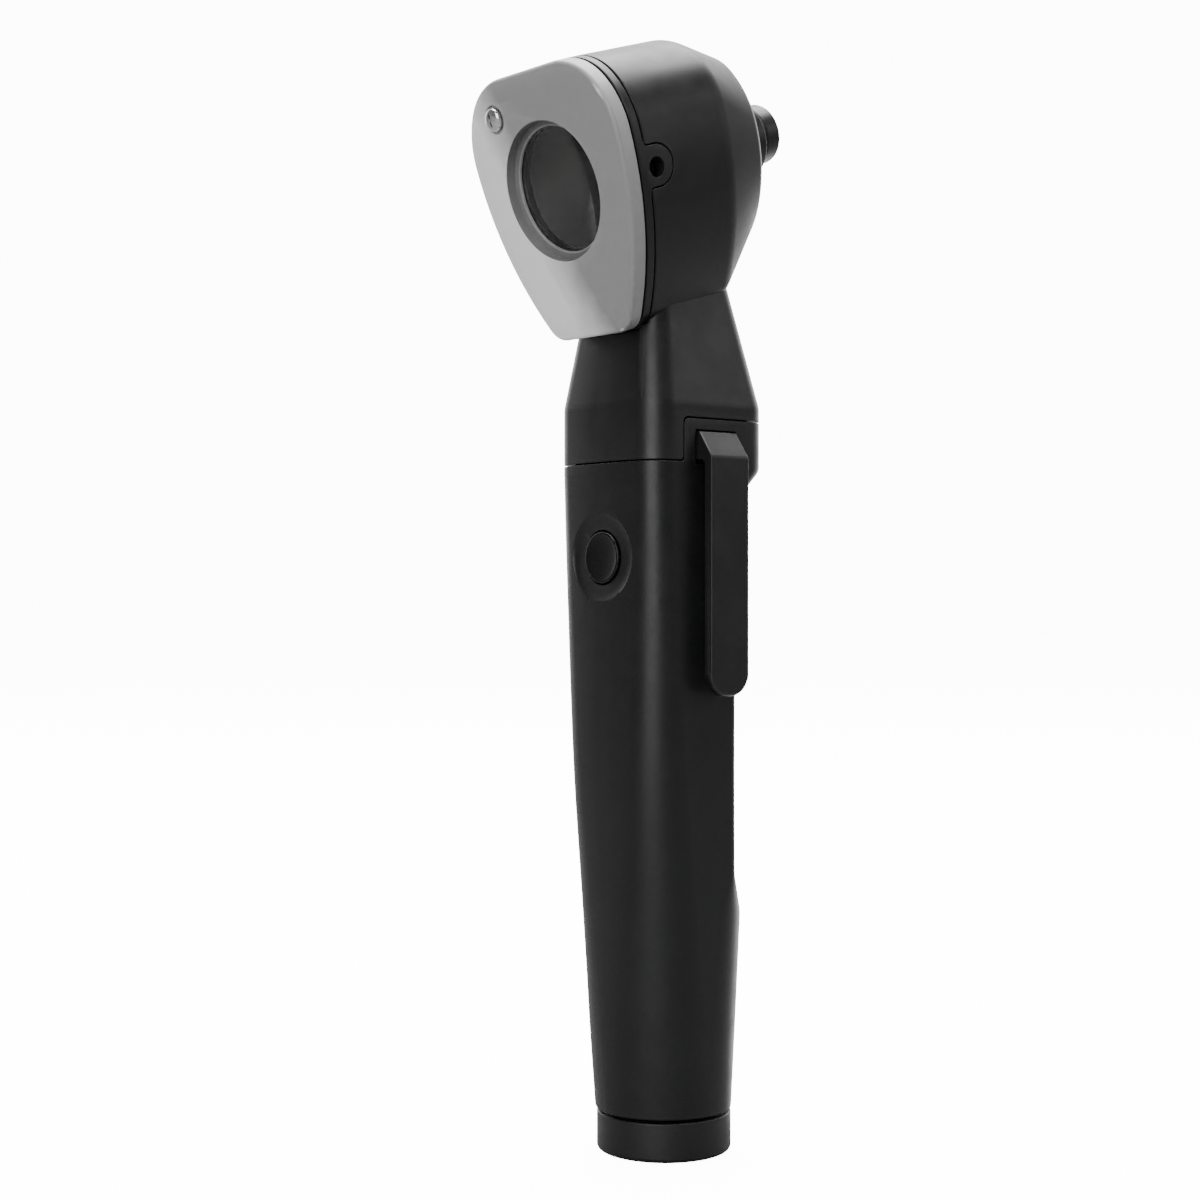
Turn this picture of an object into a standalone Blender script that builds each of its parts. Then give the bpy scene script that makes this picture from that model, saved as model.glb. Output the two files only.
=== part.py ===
"""Pocket LED otoscope: a battery handle with a tilted viewing head and a swing-away magnifier.

Metres, +Z up. The origin is the centre of the flat bottom of the battery cap, +X is the side that
faces the ear, -X is the side of the user's eye and thumb, and -Y carries the pocket clip.
Lengths below are in millimetres and are multiplied by MM where geometry is made.
"""

import math

import bmesh
import bpy
from mathutils import Matrix, Vector

MM = 0.001
GAP = 0.3                       # clearance between pieces that touch

# Handle and neck, from the bottom up
CAP_RADIUS = 11.15
CAP_HEIGHT = 6.5
CAP_EDGE = 0.8
SHELL_BOTTOM = 7.05
SHELL_WALL = 1.6
SPIGOT_RADIUS = 8.4
SPIGOT_TOP = 13.5
CAP_BORE = 7.6
CAP_FLOOR = 2.5
BATTERY_RADIUS = 7.25
BATTERY_LENGTH = 50.5
BATTERY_BOTTOM = 8.4
TUBE_INNER = 7.55
TUBE_OUTER = 8.15
TUBE_BOTTOM = 16.4
TUBE_TOP = 111.9
SEAM_LOW = 113.4
SEAM_HIGH = 120.4
SEAM_STEP_X = -6.9
# Each handle section: height, back x, front x, half width, back corner radius, then the radii where
# the front face and the side face meet the slanted finger facet, and how far that facet is from the axis
FACET_ANGLE = 36.0              # the facet faces this far round from +X
FACET_EASE = 3.0                # the rounding next to it stops this much short, so points stay apart
HANDLE_LOWER = (
    (7.05, -11.45, 11.05, 11.25, 11.2, 11.0, 11.0, 11.187),
    (25.0, -12.15, 11.4, 11.95, 10.7, 10.7, 10.7, 12.001),
    (39.5, -12.4, 11.55, 12.2, 9.4, 9.8, 9.8, 12.627),
)
HANDLE_GRIP = (
    (46.3, -12.6, 10.9, 12.3, 8.9, 4.0, 1.4, 11.12),
    (65.0, -13.05, 10.8, 12.6, 7.3, 4.0, 1.4, 11.05),
    (85.0, -13.15, 10.8, 12.85, 6.1, 4.0, 1.4, 11.1),
    (107.2, -13.35, 10.9, 13.0, 5.1, 4.0, 1.4, 11.25),
)
HANDLE_TOP = (
    (112.4, -13.45, 12.36, 13.0, 5.0, 5.0, 5.0, 15.657),
    (124.0, -13.45, 12.36, 13.0, 5.0, 5.0, 5.0, 15.657),
)
NECK_SECTIONS = (
    (111.0, -13.45, 12.36, 13.0, 5.0, 5.0, 5.0, 15.657),
    (122.3, -13.45, 12.36, 13.0, 5.0, 5.0, 5.0, 15.657),
    (123.3, -13.36, 12.24, 12.91, 4.98, 4.98, 4.98, 15.512),
    (150.0, -9.65, 6.15, 8.1, 3.6, 3.6, 3.6, 8.308),
)
NECK_WALL = 1.7

# Clip
CLIP_LEFT = -4.1
CLIP_RIGHT = 4.0
CLIP_FACE = -16.5
CLIP_THICKNESS = 1.7
CLIP_TOP = 118.2
CLIP_BOTTOM = 75.6
CLIP_CORNER = 3.5
CLIP_SHOULDER = ((2.2, 0.7), (1.1, 2.0), (0.35, 3.2), (0.05, 3.9), (0.0, 4.5))  # in from the face, down
CLIP_ROOT = (-12.4, 115.8)      # y and z of the line where the clip flexes

# Button
BUTTON_HEIGHT = 98.0
BUTTON_RADIUS = 4.25
BUTTON_FACE = -13.45
BUTTON_BACK = -13.28            # x of the handle's back face at the button
SCOOP_RADIUS = 7.4
SCOOP_DEPTH = 0.6

# Head: its axis is tilted up towards the ear; d runs along it from the magnifier's front face
HEAD_TILT = 19.0
LENS_CENTRE = (-23.5, 0.0, 156.24)
PLATE_THICKNESS = 3.2
BEZEL_FRONT = 3.5
BEZEL_BACK = 5.0
HEAD_START = 5.3
ARC_ENDS = (0.0, 54.0, 90.0, 122.3, 180.0)
# Each head section: depth d, top, half flat at the top, then the radii of four arcs from top to bottom
HEAD_BASE = (5.3, 19.35, 7.15, 10.7, 14.0, 54.0, 4.0)
HEAD_CREASE = (22.8, 19.0, 6.3, 12.6, 11.0, 54.9, 4.0)
HEAD_RIM = (32.0, 14.5, 7.1, 7.6, 15.3, 24.8, 14.4)
HEAD_FRONT = (38.5, 7.7, 0.6, 7.4, 7.4, 7.4, 7.4)
HEAD_WALL = 1.9
NOSE_RADIUS = 7.1
NOSE_END = 42.6
NOSE_BORE = 5.5
HOLDER_RADIUS = 5.15            # the tube that carries the specula, and its flange inside the nose
HOLDER_END = 47.95
FLANGE_RADIUS = 6.1
FLANGE_D = 36.4
LENS_RADIUS = 11.3
LENS_FRONT = 1.5                # depth of the lens's front face at its centre
LENS_FRONT_SAG = 1.1            # how much deeper that face is at the edge
LENS_BACK = 3.1
LENS_BACK_SAG = 0.15
PIVOT = (9.8, 13.3)             # to the user's left and up from the lens centre
PIVOT_HEAD_RADIUS = 1.95
PORT_D = 6.9
PORT_RADIUS = 1.6
TAB_RADIUS = 3.15
TAB_CENTRE_D = 7.1
BEZEL_SCREWS = ((13.9, 10.9), (-9.5, -16.0), (9.5, -16.0))

LED_X = 0.2                     # the LED and its holder stand on this line in the neck
LED_BASE = 122.6

BLACK_PLASTIC = (0.012, 0.012, 0.013)

for old in list(bpy.data.objects):
    bpy.data.objects.remove(old, do_unlink=True)
PARTS = bpy.data.collections.new("otoscope")
CUTTERS = bpy.data.collections.new("cutters")
bpy.context.scene.collection.children.link(PARTS)
bpy.context.scene.collection.children.link(CUTTERS)


def empty(name, location, parent=None, tilt=0.0):
    """A parent frame, placed in millimetres and turned about Y by tilt degrees."""
    obj = bpy.data.objects.new(name, None)
    obj.location = Vector(location) * MM
    obj.rotation_euler = (0.0, math.radians(tilt), 0.0)
    obj.parent = parent
    PARTS.objects.link(obj)
    return obj


# In this frame local z is the depth d, local -x is up the plate and local y is world Y
head_axis = empty("head_axis", LENS_CENTRE, tilt=90.0 - HEAD_TILT)


# --- building blocks -------------------------------------------------------------------------

def finish(obj, colour, roughness, metallic=0.0, sharp=35.0):
    """Give a piece its own material and smooth shading with sharp edges."""
    surface = bpy.data.materials.new(obj.name)
    surface.use_nodes = True
    shader = surface.node_tree.nodes["Principled BSDF"]
    shader.inputs["Base Color"].default_value = (*colour, 1.0)
    shader.inputs["Roughness"].default_value = roughness
    shader.inputs["Metallic"].default_value = metallic
    obj.data.materials.clear()
    obj.data.materials.append(surface)
    if obj.type == "MESH":
        obj.data.shade_smooth()
        obj.data.set_sharp_from_angle(angle=math.radians(sharp))
    return obj


def place(name, data, parent=None, location=(0, 0, 0), rotation=(0, 0, 0)):
    """Link new object data as a part."""
    obj = bpy.data.objects.new(name, data)
    obj.location = Vector(location) * MM
    obj.rotation_euler = [math.radians(angle) for angle in rotation]
    obj.parent = parent
    PARTS.objects.link(obj)
    return obj


def as_cutter(obj):
    """Turn a part into a hidden cutter or joiner."""
    PARTS.objects.unlink(obj)
    CUTTERS.objects.link(obj)
    obj.hide_render = True
    obj.display_type = "WIRE"
    return obj


def boolean(obj, tool, operation):
    modifier = obj.modifiers.new(operation.lower(), "BOOLEAN")
    modifier.operation = operation
    modifier.solver = "EXACT"
    modifier.object = as_cutter(tool)
    return obj


def cut(obj, *tools):
    for tool in tools:
        boolean(obj, tool, "DIFFERENCE")
    return obj


def join(obj, *tools):
    for tool in tools:
        boolean(obj, tool, "UNION")
    return obj


def bevel(obj, width, segments=2, angle=40.0):
    modifier = obj.modifiers.new("bevel", "BEVEL")
    modifier.width = width * MM
    modifier.segments = segments
    modifier.limit_method = "ANGLE"
    modifier.angle_limit = math.radians(angle)
    return obj


def turned(name, profile, parent=None, location=(0, 0, 0), rotation=(0, 0, 0), steps=32, ring=False):
    """Turn a profile of (radius, height) about local z; its outer side runs from top to bottom."""
    mesh = bpy.data.meshes.new(name)
    points = [(radius * MM, 0.0, height * MM) for radius, height in profile]
    edges = [(i, i + 1) for i in range(len(points) - 1)]
    if ring:
        edges.append((len(points) - 1, 0))
    mesh.from_pydata(points, edges, [])
    obj = place(name, mesh, parent, location, rotation)
    screw = obj.modifiers.new("screw", "SCREW")
    screw.steps = steps
    screw.render_steps = steps
    screw.use_merge_vertices = True
    screw.merge_threshold = 0.00001
    screw.use_smooth_shade = True
    return obj


def cylinder(name, radius, low, high, parent=None, location=(0, 0, 0), rotation=(0, 0, 0), steps=24):
    """A plain round bar from low to high along local z."""
    mesh = bpy.data.meshes.new(name)
    work = bmesh.new()
    middle = Matrix.Translation((0, 0, (low + high) / 2 * MM))
    bmesh.ops.create_cone(work, cap_ends=True, segments=steps, radius1=radius * MM,
                          radius2=radius * MM, depth=(high - low) * MM, matrix=middle)
    work.to_mesh(mesh)
    work.free()
    return place(name, mesh, parent, location, rotation)


def box(name, low, high, parent=None):
    """A block between two corners."""
    mesh = bpy.data.meshes.new(name)
    size = [(b - a) * MM for a, b in zip(low, high)]
    middle = [(a + b) / 2 * MM for a, b in zip(low, high)]
    matrix = Matrix.Translation(middle) @ Matrix.Diagonal((*size, 1.0))
    work = bmesh.new()
    bmesh.ops.create_cube(work, size=1.0, matrix=matrix)
    work.to_mesh(mesh)
    work.free()
    return place(name, mesh, parent)


def plate(name, outlines, low, high, parent=None, rotation=(0, 0, 0), location=(0, 0, 0)):
    """Extrude flat outlines along local z; outlines after the first are holes."""
    curve = bpy.data.curves.new(name, "CURVE")
    curve.dimensions = "2D"
    curve.fill_mode = "BOTH"
    curve.extrude = (high - low) / 2 * MM
    for outline in outlines:
        spline = curve.splines.new("POLY")
        spline.points.add(len(outline) - 1)
        for point, (x, y) in zip(spline.points, outline):
            point.co = (x * MM, y * MM, 0.0, 1.0)
        spline.use_cyclic_u = True
    flat = place(name + "_outline", curve)
    graph = bpy.context.evaluated_depsgraph_get()
    mesh = bpy.data.meshes.new_from_object(flat.evaluated_get(graph))
    bpy.data.objects.remove(flat)
    work = bmesh.new()
    work.from_mesh(mesh)
    bmesh.ops.remove_doubles(work, verts=work.verts, dist=0.000001)
    bmesh.ops.translate(work, verts=work.verts, vec=(0, 0, (low + high) / 2 * MM))
    work.to_mesh(mesh)
    work.free()
    return place(name, mesh, parent, location, rotation)


def wire(name, points, radius, parent=None):
    """A round wire along a smooth run of points."""
    curve = bpy.data.curves.new(name, "CURVE")
    curve.dimensions = "3D"
    curve.bevel_depth = radius * MM
    curve.bevel_resolution = 2
    curve.use_fill_caps = True
    spline = curve.splines.new("POLY")
    spline.points.add(len(points) - 1)
    for point, place_mm in zip(spline.points, points):
        point.co = (*(Vector(place_mm) * MM), 1.0)
    return place(name, curve, parent)


def loft(name, rings, parent=None):
    """Skin a run of equal-length closed rings and cap both ends."""
    work = bmesh.new()
    rows = [[work.verts.new(Vector(point) * MM) for point in ring] for ring in rings]
    count = len(rows[0])
    for lower, upper in zip(rows, rows[1:]):
        for i in range(count):
            j = (i + 1) % count
            work.faces.new((lower[i], lower[j], upper[j], upper[i]))
    work.faces.new(rows[0])
    work.faces.new(rows[-1])
    bmesh.ops.recalc_face_normals(work, faces=work.faces)
    mesh = bpy.data.meshes.new(name)
    work.to_mesh(mesh)
    work.free()
    return place(name, mesh, parent)


def arc(centre_x, centre_y, radius, start, end, steps):
    """Points of an arc, angles in degrees from +x towards +y."""
    angles = [math.radians(start + (end - start) * i / steps) for i in range(steps + 1)]
    return [(centre_x + radius * math.cos(a), centre_y + radius * math.sin(a)) for a in angles]


def circle(x, y, radius, steps=24):
    return arc(x, y, radius, 0.0, 360.0, steps)[:-1]


def smooth_path(knots, per_span=5):
    """Points of a Catmull-Rom curve through the knots."""
    ends = [Vector(knots[0])] + [Vector(k) for k in knots] + [Vector(knots[-1])]
    points = []
    for a, b, c, d in zip(ends, ends[1:], ends[2:], ends[3:]):
        for i in range(per_span):
            t = i / per_span
            points.append(0.5 * (2 * b + (c - a) * t + (2 * a - 5 * b + 4 * c - d) * t ** 2
                                 + (3 * b - a - 3 * c + d) * t ** 3))
    return points + [Vector(knots[-1])]


# --- sections ----------------------------------------------------------------------------------

def body_ring(section, inset=0.0):
    """A ring of the handle or neck: rounded back corners, faceted front corners, drawn in by inset."""
    z, back, front, half, back_radius, front_radius, side_radius, facet = section
    back, front, half, facet = back + inset, front - inset, half - inset, facet - inset
    rb, rf, rs = (max(radius - inset, 0.5) for radius in (back_radius, front_radius, side_radius))
    along, across = math.cos(math.radians(FACET_ANGLE)), math.sin(math.radians(FACET_ANGLE))
    front_y = (facet - rf - along * (front - rf)) / across
    side_x = (facet - rs - across * (half - rs)) / along
    left = arc(front - rf, front_y, rf, 0, FACET_ANGLE - FACET_EASE, 3)
    left += arc(side_x, half - rs, rs, FACET_ANGLE + FACET_EASE, 90, 4)
    left += arc(back + rb, half - rb, rb, 90, 180, 7)
    right = [(x, -y) for x, y in reversed(left)]
    return [(x, y, z) for x, y in left + right]


def blend(a, b, t):
    return tuple(x + (y - x) * t for x, y in zip(a, b))


def head_outline(section, inset=0.0, steps=(5, 4, 5, 4)):
    """Closed outline of a head section in the head frame, as (x, y) with up the plate at -x."""
    _, top, flat, *radii = section
    p, q = flat, top - inset
    half = []
    for radius, start, end, count in zip(radii, ARC_ENDS, ARC_ENDS[1:], steps):
        r = radius - inset
        a = math.radians(start)
        centre_p, centre_q = p - r * math.sin(a), q - r * math.cos(a)
        for i in range(count + 1):
            a = math.radians(start + (end - start) * i / count)
            p, q = centre_p + r * math.sin(a), centre_q + r * math.cos(a)
            if i > 0 or not half:
                half.append((p, q))
    right = [(-q, -p) for p, q in half]
    left = [(x, -y) for x, y in reversed(right)]
    return right + left


def head_ring(section, inset=0.0, depth=None):
    d = section[0] if depth is None else depth
    return [(x, y, d) for x, y in head_outline(section, inset)]


def seam_outline(shift, top):
    """The stepped joint between head and handle in XZ, closed far above or below."""
    low, high, x = SEAM_LOW + shift, SEAM_HIGH + shift, SEAM_STEP_X - shift
    line = [(-30.0, low)] + arc(x - 0.6, low + 0.6, 0.6, -90, 0, 3)
    line += arc(x + 1.0, high - 1.0, 1.0, 180, 90, 4) + [(30.0, high)]
    return line + [(30.0, top), (-30.0, top)]


# --- head ----------------------------------------------------------------------------------------

def cross_screw(name, profile, parent, location, reach, depth, top):
    """A screw turned from its profile, with a cross recess in its head."""
    obj = turned(name, profile, parent, location, steps=16)
    x, y, _ = location
    arm = 0.24 * reach
    slots = ((reach, arm, depth), (arm, reach, depth + 0.03))
    for number, (half_x, half_y, deep) in enumerate(slots, 1):
        low = (x - half_x, y - half_y, top - 1.0)
        high = (x + half_x, y + half_y, top + deep)
        cut(obj, box(f"{name}_slot_{number}", low, high, parent))
    return obj


def make_lens_frame():
    """The swinging frosted plate; its parent empty is on the pivot axis."""
    pivot = empty("lens_pivot", (-PIVOT[1], PIVOT[0], 0.0), head_axis)
    back_to_centre = (PIVOT[1], -PIVOT[0], 0.0)
    frame = plate("lens_frame", [head_outline(HEAD_BASE)], 0.0, PLATE_THICKNESS, pivot,
                  location=back_to_centre)
    bevel(frame, 0.5, 2)
    opening = cylinder("frame_opening", LENS_RADIUS, -1.0, 1.9, pivot, back_to_centre, steps=48)
    lip = cylinder("frame_lip", LENS_RADIUS - 0.7, 1.0, 4.0, pivot, back_to_centre, steps=48)
    seat = cylinder("frame_seat", LENS_RADIUS, 2.3, 4.0, pivot, back_to_centre, steps=48)
    head_seat = cylinder("frame_screw_seat", PIVOT_HEAD_RADIUS + 0.35, -1.0, 0.6, pivot)
    shank_hole = cylinder("frame_screw_hole", 1.4, -1.0, 4.0, pivot, steps=20)
    washer_seat = cylinder("frame_washer_seat", 3.0, 2.3, 4.0, pivot)
    cut(frame, opening, lip, seat, head_seat, shank_hole, washer_seat)
    finish(frame, (0.42, 0.42, 0.43), 0.45)

    edge = LENS_RADIUS - GAP
    radii = [edge * step / 5 for step in range(5)]
    front = [(radius, LENS_FRONT + LENS_FRONT_SAG * (radius / edge) ** 2) for radius in radii]
    back = [(radius, LENS_BACK - LENS_BACK_SAG * (radius / edge) ** 2) for radius in radii]
    rim = [(edge, LENS_BACK - LENS_BACK_SAG), (edge, LENS_FRONT + LENS_FRONT_SAG)]
    outline = back + rim + front[::-1]
    lens = turned("magnifier_lens", outline, pivot, back_to_centre, steps=32)
    finish(lens, (0.8, 0.85, 0.85), 0.03)
    return pivot


def make_pivot_hardware():
    at = (-PIVOT[1], PIVOT[0], 0.0)
    head = PIVOT_HEAD_RADIUS
    profile = [(0, 9.4), (0.7, 9.4), (1.1, 9.0), (1.1, 0.3), (head, 0.3), (head, -0.35),
               (0.8 * head, -0.7), (0.45 * head, -0.8), (0, -0.8)]
    screw = cross_screw("pivot_screw", profile, head_axis, at, 1.15, 0.55, -0.8)
    finish(screw, (0.55, 0.55, 0.55), 0.25, 1.0)
    washer = turned("pivot_washer", [(1.4, 3.15), (2.7, 3.15), (2.7, 2.75), (1.4, 2.75)],
                    head_axis, at, steps=24, ring=True)
    finish(washer, (0.5, 0.5, 0.5), 0.3, 1.0)
    insert = turned("pivot_insert", [(1.4, 9.9), (1.7, 9.9), (1.7, 5.4), (1.4, 5.4)],
                    head_axis, at, steps=24, ring=True)
    finish(insert, (0.6, 0.42, 0.18), 0.35, 1.0)


def tab_outline(grow):
    """Side view of the port tab, as (x, d): a D whose root flares into the bezel."""
    radius, flare = TAB_RADIUS + grow, 0.8 - grow
    root = BEZEL_BACK + 0.8 * grow
    line = [(-radius - flare - 0.01, 3.0), (-radius - flare - 0.01, root)]
    line += arc(-radius - flare, root + flare, flare, -90, 0, 3)
    line += arc(0.0, TAB_CENTRE_D, radius, 180, 0, 10)
    line += arc(radius + flare, root + flare, flare, 180, 270, 3)
    return line + [(radius + flare + 0.01, root), (radius + flare + 0.01, 3.0)]


def port_tab(name, grow, skin_low):
    """The tab's block, from skin_low outwards on the clip side of the head."""
    return plate(name, [tab_outline(grow)], -skin_low, 20.0, head_axis, rotation=(90, 0, 0))


def make_bezel():
    holes = [circle(0, 0, 9.8, 40), circle(-PIVOT[1], PIVOT[0], 1.4, 16)]
    bezel = plate("rear_bezel", [head_outline(HEAD_BASE)] + holes, BEZEL_FRONT, BEZEL_BACK, head_axis)
    tab = plate("bezel_tab", [head_outline(HEAD_BASE)], 4.2, 14.0, head_axis)
    boolean(tab, port_tab("bezel_tab_shape", 0.0, -16.0), "INTERSECT")
    boss = turned("bezel_boss", [(2.0, 10.0), (2.6, 10.0), (2.6, 4.4), (2.0, 4.4)], head_axis,
                  (-PIVOT[1], PIVOT[0], 0.0), ring=True, steps=24)
    join(bezel, tab, boss)
    groove = turned("gasket_groove", [(10.5, 4.6), (12.3, 4.6), (12.3, 3.0), (10.5, 3.0)],
                    head_axis, ring=True, steps=40)
    port = cylinder("port_hole", PORT_RADIUS, 10.0, 22.0, head_axis, (0.3, 0, PORT_D), (90, 0, 0))
    cut(bezel, groove, port)
    for number, (p, q) in enumerate(BEZEL_SCREWS, 1):
        sink = [(0, 7.0), (1.15, 7.0), (1.15, 4.8), (2.3, 3.75), (2.3, 3.0), (0, 3.0)]
        cut(bezel, turned(f"screw_sink_{number}", sink, head_axis, (-q, -p, 0), steps=20))
        profile = [(0, 12.0), (0.5, 12.0), (0.85, 11.5), (0.85, 4.7), (1.85, 3.85), (1.85, 3.62),
                   (0, 3.62)]
        screw = cross_screw(f"bezel_screw_{number}", profile, head_axis, (-q, -p, 0), 1.0, 0.5, 3.62)
        finish(screw, (0.5, 0.5, 0.5), 0.3, 1.0)
    finish(bezel, BLACK_PLASTIC, 0.5)
    gasket = turned("window_gasket", [(10.8, 4.3), (12.0, 4.3), (12.0, 3.6), (10.8, 3.6)],
                    head_axis, ring=True, steps=40)
    finish(gasket, (0.02, 0.02, 0.02), 0.8)


def head_body(name, inset, end_depth):
    """Loft of the head from the bezel joint to its front cone."""
    rings = [head_ring(HEAD_BASE, inset, HEAD_START - 0.7 - inset)]
    rings.append(head_ring(blend(HEAD_BASE, HEAD_CREASE, 0.94), inset))
    rings.append(head_ring(blend(HEAD_CREASE, HEAD_RIM, 0.11), inset))
    rings.append(head_ring(blend(HEAD_CREASE, HEAD_RIM, 0.93), inset))
    shoulder = blend(HEAD_RIM, HEAD_FRONT, 0.07)
    if inset:
        cone_end = blend(HEAD_RIM, HEAD_FRONT, (end_depth - HEAD_RIM[0]) / (HEAD_FRONT[0] - HEAD_RIM[0]))
        rings[-1] = head_ring(HEAD_RIM, inset, HEAD_RIM[0] - 0.9)
        rings.append(head_ring(cone_end, inset * 1.2, end_depth))
    else:
        rings.append(head_ring(shoulder, 0.1))
        rings.append(head_ring(HEAD_FRONT, 0.0))
    return loft(name, rings, head_axis)


def make_head_shell():
    shell = loft("head_shell", [body_ring(section) for section in NECK_SECTIONS])
    join(shell, head_body("head_outer", 0.0, HEAD_FRONT[0]))
    join(shell, cylinder("head_nose", NOSE_RADIUS, 36.0, NOSE_END, head_axis, steps=36))
    cut(shell, head_body("head_cavity", HEAD_WALL, 37.7))
    inner = [body_ring(section, NECK_WALL) for section in NECK_SECTIONS[:-1]]
    inner.append(body_ring(blend(NECK_SECTIONS[2], NECK_SECTIONS[3], 0.84), NECK_WALL))
    cut(shell, loft("neck_cavity", inner))
    for number, (p, q) in enumerate(BEZEL_SCREWS, 1):
        at = (-q, -p, 0)
        join(shell, cylinder(f"screw_boss_{number}", 2.3, HEAD_START - 0.4, 16.0, head_axis, at, steps=20))
        cut(shell, cylinder(f"screw_pilot_{number}", 1.15, 4.0, 12.6, head_axis, at, steps=16))
    cut(shell, cylinder("nose_bore", NOSE_BORE, 34.0, 45.0, head_axis, steps=36))
    cut(shell, port_tab("shell_tab_notch", GAP, -14.5))
    cut(shell, plate("bezel_room", [head_outline(HEAD_BASE, -0.35)], -6.0, HEAD_START, head_axis))
    cut(shell, plate("seam_below", [seam_outline(0.15, 100.0)], -30, 30, rotation=(90, 0, 0)))
    finish(shell, BLACK_PLASTIC, 0.5)


def make_viewing_parts():
    cone = [(2.5, HOLDER_END - 0.6), (3.1, HOLDER_END - 0.6), (3.1, 34.0), (11.6, 6.2), (11.6, 5.4),
            (10.6, 5.4), (10.6, 6.0), (2.5, 33.6)]
    cone_piece = turned("viewing_cone", cone, head_axis, steps=36, ring=True)
    hole = cylinder("cone_port", PORT_RADIUS, 6.0, 16.0, head_axis, (0.3, 0, PORT_D + 0.3), (90, 0, 0), 16)
    finish(cut(cone_piece, hole), (0.01, 0.01, 0.01), 0.75)
    ring = [(3.4, HOLDER_END - 0.3), (3.9, HOLDER_END - 0.3), (3.9, FLANGE_D - GAP),
            (6.2, FLANGE_D - GAP), (6.2, FLANGE_D - 1.1), (3.4, FLANGE_D - 1.1)]
    finish(turned("light_ring", ring, head_axis, steps=32, ring=True), (0.75, 0.78, 0.8), 0.1)
    holder = [(4.2, HOLDER_END), (4.6, HOLDER_END), (4.9, HOLDER_END - 0.15), (5.1, HOLDER_END - 0.6),
              (5.1, HOLDER_END - 3.0), (4.95, HOLDER_END - 3.2), (4.6, HOLDER_END - 3.4),
              (4.6, HOLDER_END - 4.8), (HOLDER_RADIUS, HOLDER_END - 5.1), (HOLDER_RADIUS, FLANGE_D + 0.8),
              (FLANGE_RADIUS, FLANGE_D + 0.8), (FLANGE_RADIUS, FLANGE_D), (4.2, FLANGE_D)]
    finish(turned("specula_holder", holder, head_axis, steps=36, ring=True), BLACK_PLASTIC, 0.45)
    port = turned("port_tube", [(1.0, 15.7), (PORT_RADIUS, 15.7), (PORT_RADIUS, 11.9), (1.0, 11.9)],
                  head_axis, (0.3, 0, PORT_D), (90, 0, 0), steps=20, ring=True)
    finish(port, (0.02, 0.02, 0.02), 0.6)


# --- light source --------------------------------------------------------------------------------

def head_to_world(d, q):
    """World x and z of a point of the head's middle plane."""
    tilt = math.radians(HEAD_TILT)
    x = LENS_CENTRE[0] + d * math.cos(tilt) - q * math.sin(tilt)
    return x, LENS_CENTRE[2] + d * math.sin(tilt) + q * math.cos(tilt)


def make_light():
    straight = NECK_SECTIONS[0][1:]
    rings = [body_ring((z, *straight), NECK_WALL + GAP) for z in (112.6, 121.9)]
    sleeve = loft("neck_sleeve", rings)
    hollow = [body_ring((z, *straight), NECK_WALL + GAP + 1.2) for z in (113.8, 130.0)]
    cut(sleeve, loft("sleeve_hollow", hollow))
    cut(sleeve, cylinder("sleeve_wire_hole", 2.2, 110.0, 120.0, location=(-8.0, 0, 0), steps=20))
    finish(sleeve, (0.02, 0.02, 0.02), 0.6)

    sink = box("heat_sink", (-4.8, -5.0, 114.1), (5.2, 5.0, 121.0))
    for number, y in enumerate((-3.0, -1.0, 1.0, 3.0), 1):
        cut(sink, box(f"fin_gap_{number}", (-6.0, y - 0.5, 113.0), (6.5, y + 0.5, 119.0)))
    finish(sink, (0.6, 0.6, 0.62), 0.4, 1.0)
    finish(box("led_board", (-5.3, -5.5, 121.3), (5.7, 5.5, 122.3)), (0.02, 0.12, 0.05), 0.5)
    dome = [(1.5 * math.sin(math.radians(a)), 124.0 + 0.8 * math.cos(math.radians(a)))
            for a in (0, 30, 60, 90)]
    led = turned("led_emitter", dome + [(1.75, 123.95), (1.75, LED_BASE), (0, LED_BASE)],
                 location=(LED_X, 0, 0), steps=20)
    finish(led, (0.9, 0.85, 0.6), 0.3)
    holder = [(1.6, LED_BASE + 9.0), (2.8, LED_BASE + 9.0), (4.6, LED_BASE + 5.4), (4.6, LED_BASE),
              (2.3, LED_BASE), (2.3, LED_BASE + 2.8), (1.6, LED_BASE + 3.2)]
    holder_piece = turned("led_holder", holder, location=(LED_X, 0, 0), steps=24, ring=True)
    finish(holder_piece, (0.03, 0.03, 0.03), 0.5)

    bend_x, bend_z = head_to_world(22.0, -17.6)
    under_x, under_z = head_to_world(27.5, -10.6)
    end_x, end_z = head_to_world(34.7, -5.0)
    before_x, before_z = head_to_world(32.6, -5.9)
    knots = [(LED_X, 0, LED_BASE + 3.6), (LED_X, 0, 133.5), (bend_x - 1.0, 0, bend_z),
             (under_x, 0, under_z), (before_x, 0, before_z), (end_x, 0, end_z)]
    guide = wire("light_guide", smooth_path(knots, 4), 1.1)
    finish(guide, (0.8, 0.82, 0.85), 0.1)
    for name, y, colour in (("led_wire_positive", 1.2, (0.5, 0.02, 0.02)),
                            ("led_wire_negative", -1.2, (0.02, 0.02, 0.02))):
        knots = [(-8.9, y, 104.5), (-9.0, y, 108.0), (-8.9, y, 112.0), (-8.3, y, 116.0),
                 (-7.3, y, 120.0), (-6.1, y, 121.7)]
        finish(wire(name, smooth_path(knots, 3), 0.45), colour, 0.5)


# --- handle --------------------------------------------------------------------------------------

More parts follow.
